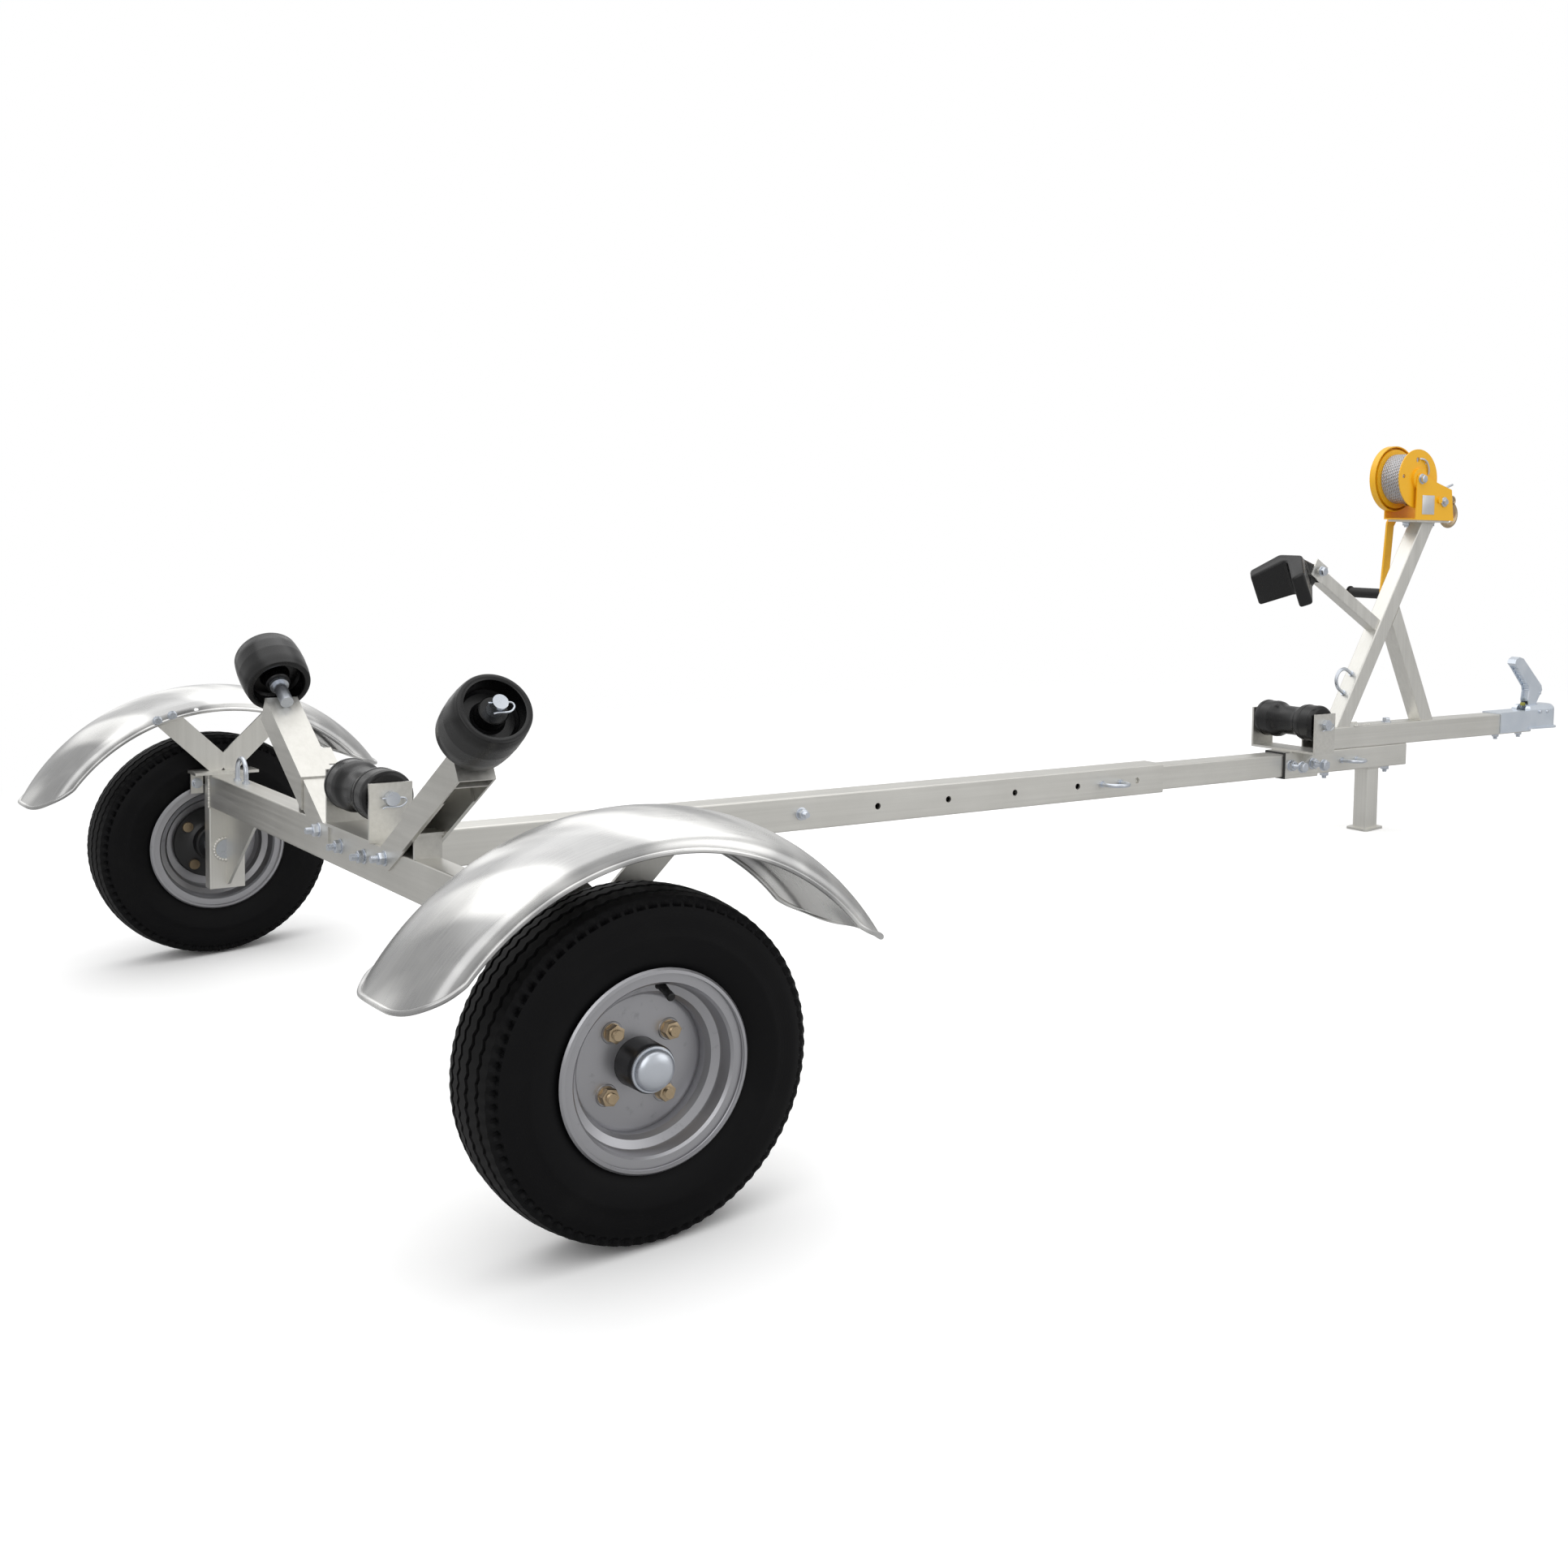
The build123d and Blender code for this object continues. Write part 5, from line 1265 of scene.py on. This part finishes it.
# ---------------------------------------------------------------- rollers
@dataclass
class KeelRoller:
    """A waisted black roller on the centre line, and the clip on its bracket's pin."""

    word: str
    half: float = 84.0
    end_radius: float = 40.0
    waist: float = 31.5
    bore: float = 10.6
    pin_end: float = 104.0

    def build(self) -> None:
        """Makes the roller and its clip."""
        body = f"keel_roller_{self.word}"
        place = placed(joint_place(f"{body}_spin"), "Y", math.degrees(PITCH)) @ Matrix.Scale(MM, 4)
        node = f"{self.word}_keel_roller"
        Piece(f"{node}_dressed", body, Finish.RUBBER, place, (node,)).make(self.roller)
        Piece(f"{node}_clip", "chassis", Finish.ZINC, place).make(self.clip)

    def roller(self, bm: Mesh) -> None:
        """The roller: shallow ribs near its ends, shoulders and a hollow waist.

        Args:
            bm: the mesh it goes into.
        """
        r, half = self.end_radius, self.half
        side = shifted((0.0, self.waist), (2.0, 0.0), (16.0, 0.2), (24.0, 1.4), (29.0, 3.6)) + shifted(
            (0.0, r), (33.0, -2.6), (37.0, -1.0), (42.0, -0.6), (44.0, 0.0), (48.0, 0.0), (49.0, -0.8)
        )
        side += shifted(
            (half, r), (-13.0, -0.8), (-12.0, 0.0), (-7.0, 0.0), (-2.5, -1.6), (-0.4, -5.0), (0.0, -8.0)
        )
        side += shifted((half, 0.0), (0.0, 21.0), (-2.0, 19.5), (-2.0, self.bore))
        spin_profile(bm, mirrored(side), 80)

    def clip(self, bm: Mesh) -> None:
        """The spring clip through each end of the pin, against the bracket.

        Args:
            bm: the mesh it goes into.
        """
        for sign in (1, -1):
            y = sign * (self.pin_end - 4.5)
            points = (
                (-15.0, 1.0), (0.0, 1.0), (14.0, 1.0), (20.0, 0.0), (22.0, -6.0), (14.0, -12.5), (4.0, -12.5),
                (-3.0, -12.0), (-9.0, -11.0), (-14.0, -14.0),
            )
            bm.from_mesh(rod_path([(x, y, z) for x, z in points], 1.3))


@dataclass
class SideRoller:
    """A big cupped side roller on its raked arm."""

    side: Side
    start: float = 20.5
    length: float = 86.0
    end_radius: float = 51.0
    crown: float = 54.0
    cup: float = 41.0
    depth: float = 30.0
    boss: float = 20.0
    setback: float = 6.0
    bore: float = 10.6
    pin_end: float = 125.5
    lean: float = 31.5
    top_y: float = 387.0
    top_z: float = 317.0
    beam_x: float = -8.0

    def build(self) -> None:
        """Makes the roller and its clip."""
        word, hand = self.side.word, self.side.value
        place = CHASSIS @ placed((self.beam_x, hand * self.top_y, self.top_z), "X", self.lean, hand)
        node, body = f"side_roller_{word}", f"bilge_roller_{word}"
        Piece(f"{node}_dressed", body, Finish.RUBBER, place, (node,)).make(self.roller)
        Piece(f"side_roller_clip_{word}", "chassis", Finish.ZINC, place).make(self.clip)

    def roller(self, bm: Mesh) -> None:
        """The roller: a crowned wall with a parting line, open cups, webs and a boss.

        Args:
            bm: the mesh it goes into.
        """
        half, end = self.length / 2, self.end_radius
        side = shifted((0.0, self.crown), (0.6, 0.0), (1.6, -0.1), (20.0, -0.7)) + shifted(
            (half, end), (-9.0, 0.9), (-8.0, 0.3), (-3.0, 0.0), (-0.8, -1.2), (0.0, -3.2)
        ) + shifted((half, self.cup), (0.0, 2.5), (-1.0, 0.7), (-3.0, 0.0))
        side += shifted((half - self.depth, self.cup), (4.0, -1.0), (0.0, -5.0))
        side += shifted((half - self.depth, self.boss), (0.0, 4.0), (3.0, 0.8))
        side += shifted((half - self.setback, self.boss), (-1.5, 0.0), (0.0, -1.5))
        side.append((half - self.setback, self.bore))
        spin_profile(bm, shifted((self.start + half, 0.0), *mirrored(side)), 96)

    def clip(self, bm: Mesh) -> None:
        """The spring clip through the pin's outer end.

        Args:
            bm: the mesh it goes into.
        """
        points = (
            (-14.0, 2.0), (0.0, 2.0), (13.0, 2.0), (19.0, 1.0), (21.0, -5.0), (14.0, -12.0), (4.0, -12.5),
            (-4.0, -11.8), (-10.0, -13.5),
        )
        bm.from_mesh(rod_path([(x, self.pin_end - 7.0, z) for x, z in points], 1.4))


# ---------------------------------------------------------------- the rest of the chassis
@dataclass
class Chassis:
    """The welded and bolted steelwork and its small hardware."""

    along: tuple[str, ...] = ("drawbar_outer", "drawbar_inner", "drawbar_upper", "clamp_sleeve")
    across: tuple[str, ...] = (
        "crossbeam", "arm_saddle_left", "arm_saddle_right", "arm_channel_left", "arm_channel_right",
        "arm_cleats", "rear_keel_bracket", "front_keel_bracket",
    )
    upright: tuple[str, ...] = (
        "uprights", "mudguard_bracket_left", "mudguard_bracket_right", "stand_leg", "winch_post",
        "winch_brace", "bow_arm", "winch_mount",
    )
    plated: tuple[str, ...] = ("stub_axles", "roller_pins", "lashing_rings")
    tube_low: float = 134.5
    tube_mid: float = 109.5
    tube_half: float = 25.0
    sleeve: float = 29.7
    mouth: float = 1989.0
    upper_top: float = 184.5
    lower_low: float = 84.5
    clamp_at: Flat = (2007.0, 2077.0)
    clamp_reach: float = 31.4
    thread: Flat = (5.1, 5.9)
    thread_start: float = 9.0
    thread_pitch: float = 1.75
    thread_turns: int = 13
    beam_rear: float = -28.0
    saddle_faces: Flat = (-30.8, 14.8)
    saddle_bolt: Flat = (142.0, 126.0)
    keel_bolt: Flat = (50.0, 114.0)
    drawbar_bolt: Flat = (743.0, 30.0)
    bow_bolt: Point = (2086.7, 30.5, 536.0)
    post_bolts: Flat = (2151.0, 2362.0)
    head_bolts: Flat = (2783.0, 2877.0)
    weld_ring: float = 20.2
    weld_y: float = 749.5
    weld_lines: tuple[tuple[Point, Point, float], ...] = (
        ((-28.0, 751.0, 79.5), (-28.0, 751.0, 139.5), 3.0), ((12.0, 751.0, 79.5), (12.0, 751.0, 139.5), 3.0),
        ((-11.0, 745.0, 80.0), (-11.0, 660.0, 80.0), 3.0), ((-5.0, 745.0, 80.0), (-5.0, 660.0, 80.0), 3.0),
        ((2278.0, 20.2, 84.5), (2318.0, 20.2, 84.5), 3.0),
        ((2222.0, 25.0, 185.0), (2280.0, 20.0, 185.0), 2.6),
    )

    def build(self) -> None:
        """Dresses the steelwork and adds its bolts."""
        # The members across take a darker copy of the steel and the upright ones a lighter copy: painted shade and
        # painted light.
        for nodes, finish in (
            (self.along, Finish.STEEL), (self.across, Finish.STEEL_ACROSS),
            (self.upright, Finish.STEEL_UPRIGHT), (self.plated, Finish.ZINC),
        ):
            dress(finish, *nodes)
        Piece("chassis_bolts", "chassis", Finish.ZINC).make(self.bolts)
        Piece("weld_beads", "chassis", Finish.STEEL, smooth=80.0).make(self.welds)
        Piece("clamp_bolts", "chassis", Finish.ZINC).make(self.clamp_bolts)
        # A black frame in the sleeve's mouth paints the shadow in the gap round the tube.
        Piece("tube_liners", "chassis", Finish.BLACK).make(self.liners)

    def clamp_bolts(self, bm: Mesh) -> None:
        """The two plated bolts that clamp the sleeve: nut, thread and head.

        Args:
            bm: the mesh it goes into.
        """
        for x in self.clamp_at:
            for out in (0.0, self.clamp_reach):
                Fastener.CLAMP.add(bm, (x, -self.sleeve - out, self.tube_mid), (0, -1, 0))
            root, crest = self.thread
            for step in range(self.thread_turns):
                start = -self.sleeve - self.thread_start - step * self.thread_pitch
                ends = [(x, start - along, self.tube_mid) for along in (0.0, 0.9, self.thread_pitch)]
                add_rod(bm, ends[0], ends[1], root, 20, crest)
                add_rod(bm, ends[1], ends[2], crest, 20, root)

    def liners(self, bm: Mesh) -> None:
        """A dark frame in the sleeve's mouth: painted shadow for the shade in the gap round the tube.

        Args:
            bm: the mesh it goes into.
        """
        side, inner = self.sleeve - 0.8, self.tube_half + 0.1
        low, high = self.tube_mid - side, self.tube_mid + side
        x0, x1 = self.mouth - 3.2, self.mouth + 0.4
        for sign in (1, -1):
            near, far = sorted((sign * inner, sign * side))
            add_block(bm, (x0, near, low), (x1, far, high))
            add_block(bm, (x0, -inner, self.tube_mid + near), (x1, inner, self.tube_mid + far))

    def bolts(self, bm: Mesh) -> None:
        """Every bolt that shows on the beam, the drawbar and the tubes.

        Args:
            bm: the mesh it goes into.
        """
        rear, front = self.saddle_faces
        for hand in (1, -1):
            for bolt, (x, y, z), out, turn in (
                (Fastener.FRAME_NUT, (rear, *self.saddle_bolt), (-1, 0, 0), 20.0 * hand),
                (Fastener.FRAME_NUT, (self.beam_rear, *self.keel_bolt), (-1, 0, 0), 8.0 * hand),
                (Fastener.FRAME, (front, *self.saddle_bolt), (1, 0, 0), 14.0),
                (Fastener.FRAME_NUT, (*self.drawbar_bolt, self.tube_mid), (0, hand, 0), 11.0),
                (Fastener.FRAME, self.bow_bolt, (0, hand, 0), 18.0),
            ):
                bolt.add(bm, (x, hand * y, z), out, turn)
        for bolt, places, z, up, turn in (
            (Fastener.FRAME, self.post_bolts, self.upper_top, 1, 10.0),
            (Fastener.POST_NUT, self.post_bolts, self.lower_low, -1, 22.0),
            (Fastener.HEAD_NUT, self.head_bolts, self.tube_low, -1, 16.0),
        ):
            for x in places:
                bolt.add(bm, (x, 0.0, z), (0, 0, up), turn)

    def welds(self, bm: Mesh) -> None:
        """The weld beads where tubes, plates and brackets meet.

        Args:
            bm: the mesh it goes into.
        """
        turns = [math.tau * step / 24 for step in range(25)]
        ring = [(self.weld_ring * math.cos(turn), self.weld_ring * math.sin(turn)) for turn in turns]
        for hand in (1, -1):
            for (x0, y0, z0), (x1, y1, z1), radius in self.weld_lines:
                self.bead(bm, (x0, hand * y0, z0), (x1, hand * y1, z1), radius)
            for (x0, z0), (x1, z1) in zip(ring, ring[1:]):
                self.bead(bm, (x0, hand * self.weld_y, z0), (x1, hand * self.weld_y, z1), 3.0)

    @staticmethod
    def bead(bm: Mesh, start: Point, end: Point, radius: float) -> None:
        """One weld bead: overlapping drops in a row.

        Args:
            bm: the mesh.
            start: its first end.
            end: its other end.
            radius: the drops' radius.
        """
        a, b = Vector(start), Vector(end)
        count = max(2, int((b - a).length / (radius * 1.1)))
        for step in range(count + 1):
            wobble = 1.0 + 0.12 * math.sin(step * 2.4 + a.y)
            place = Matrix.Translation(a.lerp(b, step / count))
            bmesh.ops.create_icosphere(bm, subdivisions=2, radius=radius * wobble, matrix=place)


# ---------------------------------------------------------------- the bow stop
@dataclass
class BowStop:
    """The rubber V block, moulded with round edges."""

    pivot: Flat = (2086.68, 536.0)
    tilt: float = 26.6
    plan: tuple[Flat, ...] = (
        (0.0, -19.6), (31.0, -19.6), (104.0, -80.0), (126.0, -60.0), (64.0, 0.0),
        (126.0, 60.0), (104.0, 80.0), (31.0, 19.6), (0.0, 19.6),
    )
    side: tuple[Flat, ...] = (
        (0.0, -15.0), (31.0, -26.0), (126.0, -26.0), (126.0, 45.0), (48.0, 64.0), (0.0, 15.0),
    )
    low: float = -27.0
    tall: float = 92.0
    root: float = 14.0
    round: float = 6.5
    boss: Flat = (19.4, 14.8)

    def build(self) -> None:
        """Makes the block."""
        place = CHASSIS @ placed((self.pivot[0], 0.0, self.pivot[1]), "Y", -self.tilt)
        place = place @ Matrix.Rotation(math.pi, 4, "Z")
        Piece("bow_stop_dressed", "bow_rest", Finish.RUBBER, place, ("bow_stop",), 40.0).make(self.block)

    def block(self, bm: Mesh) -> None:
        """The V in plan, cut to its side outline, rounded, with the boss on the bracket's bolt.

        Args:
            bm: the mesh it goes into.
        """
        add_prism(bm, [(x, y, self.low) for x, y in self.plan], (0.0, 0.0, self.tall))
        bmesh.ops.recalc_face_normals(bm, faces=bm.faces)
        root = Vector(self.plan[4])
        upright = [edge for edge in bm.edges if all((vert.co.xy - root).length < 0.1 for vert in edge.verts)]
        soften(bm, upright, self.root, 5)
        for (x0, z0), (x1, z1) in zip(self.side, self.side[1:] + self.side[:1]):
            if abs(x1 - x0) < 0.5:
                continue
            cut = bmesh.ops.bisect_plane(
                bm, geom=bm.verts[:] + bm.edges[:] + bm.faces[:], plane_co=(x0, 0.0, z0),
                plane_no=(z1 - z0, 0.0, x0 - x1), clear_outer=True,
            )
            bmesh.ops.holes_fill(bm, edges=picked(cut["geom_cut"], bmesh.types.BMEdge))
            bmesh.ops.remove_doubles(bm, verts=bm.verts, dist=0.01)
        bmesh.ops.dissolve_limit(bm, angle_limit=0.01, verts=bm.verts, edges=bm.edges)
        bmesh.ops.recalc_face_normals(bm, faces=bm.faces)
        soften(bm, sharp_edges(bm), self.round, 4)
        add_soft_rod(bm, (0.0, -self.boss[0], 0.0), (0.0, self.boss[0], 0.0), self.boss[1], (1.6, 3), 48)


# ---------------------------------------------------------------- the winch
@dataclass
class Winch:
    """The yellow hand winch, its rope, crank and grip."""

    drum: Flat = (2400.0, 749.0)
    shaft: Flat = (2483.0, 698.2)
    side: float = 47.0
    base_z: float = 650.0
    base_bolts: Flat = (2408.0, 2498.0)
    plate_low: Flat = (2404.0, 668.0)
    plate_size: float = 44.0
    plate_inset: float = 3.0
    tail_path: tuple[Point, ...] = (
        (4.0, -33.0, 46.0), (4.0, -38.5, 46.0), (12.0, -41.5, 46.0), (26.0, -41.5, 38.0), (33.0, -41.0, 20.0),
        (33.0, -38.0, 12.0),
    )
    rod_path: tuple[Point, ...] = ((2500.0, 18.0, 716.0), (2572.0, 18.0, 734.0), (2599.0, 18.0, 742.0))

    def build(self) -> None:
        """Dresses the frame and drum and adds the hardware."""
        dress(Finish.YELLOW, "winch_frame", "winch_cover", "winch_drum", "winch_crank")
        # The rope's material paints shade into the grooves between its strands.
        dress(WireRope("drum_rope_groove_shade", "cable", tuple(joint_place("drum_spin"))), "winch_cable")
        dress(Finish.GRIP, "crank_grip")
        dress(Finish.GOLD, "winch_hook")
        Piece("winch_bolts", "chassis", Finish.ZINC).make(self.bolts)
        Piece("winch_plate", "chassis", Finish.PLATE).make(self.plate)
        Piece("cable_tail", "drum", Finish.ZINC).make(self.tail)
        Piece("ratchet_rod", "chassis", Finish.ZINC).make(self.rod)

    def bolts(self, bm: Mesh) -> None:
        """The drum's bolt on both sides, the shaft's washer, and the bolts of the base.

        Args:
            bm: the mesh it goes into.
        """
        for hand, bolt in ((1, Fastener.DRUM_LEFT), (-1, Fastener.DRUM_RIGHT)):
            bolt.add(bm, (self.drum[0], hand * self.side, self.drum[1]), (0, hand, 0), 10.0)
        at = (self.shaft[0], -self.side, self.shaft[1])
        Fastener.WINCH_SHAFT.add(bm, at, (0, -1, 0), 15.0)
        for x in self.base_bolts:
            Fastener.WINCH_BASE.add(bm, (x, 0.0, self.base_z), (0, 0, -1), 12.0)

    def plate(self, bm: Mesh) -> None:
        """The blank silver plate, riveted to the near side.

        Args:
            bm: the mesh it goes into.
        """
        (x, z), size, y = self.plate_low, self.plate_size, -self.side
        add_block(bm, (x, y - 1.0, z), (x + size, y, z + size))
        soften(bm, sharp_edges(bm, SHARP), 0.4)
        near, far = self.plate_inset, size - self.plate_inset
        for along, up in ((near, near), (far, near), (near, far), (far, far)):
            add_rod(bm, (x + along, y - 1.4, z + up), (x + along, y - 0.8, z + up), 1.4, 16, 1.8)

    def tail(self, bm: Mesh) -> None:
        """The end of the cable, looped out through two holes of the near flange."""
        x, z = self.drum
        bm.from_mesh(rod_path([(x + along, y, z + up) for along, y, up in self.tail_path], 2.4))

    def rod(self, bm: Mesh) -> None:
        """The thin rod of the ratchet's catch, standing out at the front.

        Args:
            bm: the mesh it goes into.
        """
        add_rod(bm, *self.rod_path[:2], 3.0, 20)
        add_rod(bm, *self.rod_path[1:], 3.0, 20, 2.4)
        soften(bm, sharp_edges(bm, SHARP), 0.6)


# ---------------------------------------------------------------- the coupling
@dataclass
class Coupling:
    """The pressed coupling head and its lever."""

    pin: Flat = (2917.0, 196.0)
    web: tuple[Flat, ...] = (
        (-66.0, 107.0), (-12.0, 53.0), (-9.0, 40.0), (-11.0, 20.0), (-7.0, 12.0), (-3.5, 12.0), (-7.0, 20.0),
        (-5.0, 41.0), (-8.0, 56.0), (-62.0, 110.5),
    )
    web_half: float = 9.3
    web_ribs: tuple[Flat, ...] = (
        (-54.0, 95.0), (-44.0, 85.0), (-34.0, 75.0), (-24.0, 65.0), (-14.5, 54.0), (-10.0, 42.0),
    )
    rivets_at: tuple[Flat, ...] = ((2921.0, 184.0), (2949.0, 183.0))
    lever_rivet_at: Flat = (2946.0, 228.0)
    tab: tuple[Point, Point] = ((2887.0, -5.0, 198.0), (2897.0, 5.0, 206.0))

    def build(self) -> None:
        """Dresses the coupling and adds its rivets and the indicator."""
        dress(Finish.PLATED, "coupling_body", "coupling_lever")
        Piece("coupling_rivets", "chassis", Finish.ZINC).make(self.rivets)
        Piece("lever_rivet", "latch_lever", Finish.ZINC).make(self.lever_rivet)
        Piece("lever_web", "latch_lever", Finish.PLATED).make(self.lever_web)
        Piece("wear_indicator", "chassis", Finish.GREEN).make(self.indicator)

    def rivets(self, bm: Mesh) -> None:
        """The round rivets in both sides of the head.

        Args:
            bm: the mesh it goes into.
        """
        for hand in (1, -1):
            for x, z in self.rivets_at:
                add_soft_rod(bm, (x, hand * 24.0, z), (x, hand * 36.0, z), 5.0, (1.4, 3), 28, 4.0)

    def lever_rivet(self, bm: Mesh) -> None:
        """The rivet across the lever, above its pin."""
        (x, z), half = self.lever_rivet_at, 13.5
        add_soft_rod(bm, (x, -half, z), (x, half, z), 3.6, (0.8, 2), 24)

    def lever_web(self, bm: Mesh) -> None:
        """The ribbed web set a little way in from the lever's open back.

        Args:
            bm: the mesh it goes into.
        """
        half = self.web_half
        add_prism(bm, [(x, -half, z) for x, z in shifted(self.pin, *self.web)], (0.0, 2 * half, 0.0))
        for x, z in shifted(self.pin, *self.web_ribs):
            add_rod(bm, (x, -8.0, z), (x, 8.0, z), 2.6, 20)

    def indicator(self, bm: Mesh) -> None:
        """The small coloured tab of the wear indicator, on the head behind the lever."""
        add_block(bm, *self.tab)
        soften(bm, sharp_edges(bm, SHARP), 1.5)


# ---------------------------------------------------------------- studio
@dataclass
class Studio:
    """The floor, lamps, world and camera."""

    focal_px: float = 2229.989
    frame_px: float = 1932.0
    centre_px: Flat = (1259.713, 813.279)
    sensor: float = 36.0
    eye: Point = (-0.916321, -2.704826, 0.887422)
    yaw: float = 50.898
    pitch: float = -6.557
    roll: float = -1.557
    surround: float = 0.66
    floor_half: float = 40.0
    floor_gain: float = 0.58
    bounce: float = 0.5
    fade: Flat = (2.1, 3.4)
    lights: tuple[tuple[str, Point, Point, float, float], ...] = (
        ("overhead", (-0.3, 0.3, 4.2), (-0.3, 0.0, 0.0), 7.0, 110.0),
        ("key", (-3.4, -3.0, 2.8), (-0.6, 0.0, 0.3), 3.6, 32.0),
        ("fill", (2.2, -3.8, 1.8), (0.4, 0.0, 0.3), 3.4, 24.0),
        ("back", (-0.6, 3.8, 2.6), (-0.4, 0.0, 0.2), 4.2, 20.0),
    )

    def build(self) -> None:
        """Makes everything."""
        self.camera()
        self.floor()
        self.world()
        self.lamps()

    def camera(self) -> None:
        """The camera, with the shift that the framing needs."""
        yaw, pitch, roll = (math.radians(v) for v in (self.yaw, self.pitch, self.roll))
        look = Vector((math.cos(yaw) * math.cos(pitch), math.sin(yaw) * math.cos(pitch), math.sin(pitch)))
        right = Vector((math.sin(yaw), -math.cos(yaw), 0.0))
        up = right.cross(look)
        right2 = right * math.cos(roll) + up * math.sin(roll)
        up2 = up * math.cos(roll) - right * math.sin(roll)
        data = bpy.data.cameras.new("camera")
        data.sensor_width = self.sensor
        data.lens = self.focal_px * self.sensor / self.frame_px
        data.shift_x = (self.frame_px / 2 - self.centre_px[0]) / self.frame_px
        data.shift_y = (self.centre_px[1] - self.frame_px / 2) / self.frame_px
        data.clip_end = 100.0
        camera = linked("camera", data)
        columns = Matrix((right2, up2, -look)).transposed().to_4x4()
        camera.matrix_world = Matrix.Translation(Vector(self.eye) + Vector((AXLE.x, 0.0, 0.0))) @ columns
        bpy.context.scene.camera = camera

    def floor(self) -> None:
        """A white floor that keeps the shadow near the trailer and is plain white further off."""
        bm = bmesh.new()
        bmesh.ops.create_grid(bm, x_segments=1, y_segments=1, size=self.floor_half)
        mesh = bpy.data.meshes.new("floor")
        bm.to_mesh(mesh)
        bm.free()
        floor = linked("floor", mesh)
        r = Recipe("floor_white")
        path = r.tree.nodes.new("ShaderNodeLightPath")
        seen = Wire(r.tree, path.outputs["Is Camera Ray"])
        far = r.node("VectorMath", {"operation": "LENGTH"}, "Value", Vector=r.object).between(*self.fade)
        shaded = r.tree.nodes.new("ShaderNodeAddShader")
        for place in (0, 1):
            half = r.node("BsdfDiffuse", Color=(*[self.floor_gain] * 3, 1.0))
            r.tree.links.new(half.socket, shaded.inputs[place])
        glow = r.node("Emission", Strength=1.0)
        plain = r.node("BsdfDiffuse", Color=(*[self.bounce] * 3, 1.0))
        lit = r.tree.nodes.new("ShaderNodeMixShader")
        whole = r.tree.nodes.new("ShaderNodeMixShader")
        for source, target in (
            (far.socket, lit.inputs[0]), (shaded.outputs[0], lit.inputs[1]), (glow.socket, lit.inputs[2]),
            (seen.socket, whole.inputs[0]), (plain.socket, whole.inputs[1]),
            (lit.outputs[0], whole.inputs[2]), (whole.outputs[0], r.tree.nodes["Material Output"].inputs[0]),
        ):
            r.tree.links.new(source, target)
        mesh.materials.append(r.material)

    def world(self) -> None:
        """A white surround for the camera, and a dim one for light and reflections."""
        world = bpy.data.worlds.new("studio")
        bpy.context.scene.world = world
        world.use_nodes = True
        tree = world.node_tree
        background = tree.nodes["Background"]
        path = tree.nodes.new("ShaderNodeLightPath")
        strength = Wire(tree, path.outputs["Is Camera Ray"]) * (1.0 - self.surround) + self.surround
        tree.links.new(strength.socket, background.inputs["Strength"])
        background.inputs["Color"].default_value = (1.0, 1.0, 1.0, 1.0)

    def lamps(self) -> None:
        """A wide lamp overhead and three soft ones round the trailer."""
        for name, place, aim, size, power in self.lights:
            lamp = bpy.data.lights.new(name, "AREA")
            lamp.shape = "DISK"
            lamp.size = size
            lamp.energy = power
            turn = (Vector(aim) - Vector(place)).to_track_quat("-Z", "Y").to_matrix().to_4x4()
            linked(name, lamp).matrix_world = Matrix.Translation(place) @ turn


def main() -> None:
    """Builds the studio and dresses the trailer, piece by piece."""
    bpy.context.scene.view_settings.view_transform = "Standard"
    Studio().build()
    for side, turn, lean in ((Side.LEFT, -5.0, 3.5), (Side.RIGHT, 9.0, 0.0)):
        Wheel(side, turn).build()
        Mudguard(side, lean).build()
        SideRoller(side).build()
    KeelRoller("rear").build()
    KeelRoller("front").build()
    for part in (Chassis(), BowStop(), Winch(), Coupling()):
        part.build()
        LOG.info("%s done", type(part).__name__)


if __name__ == "__main__":
    main()
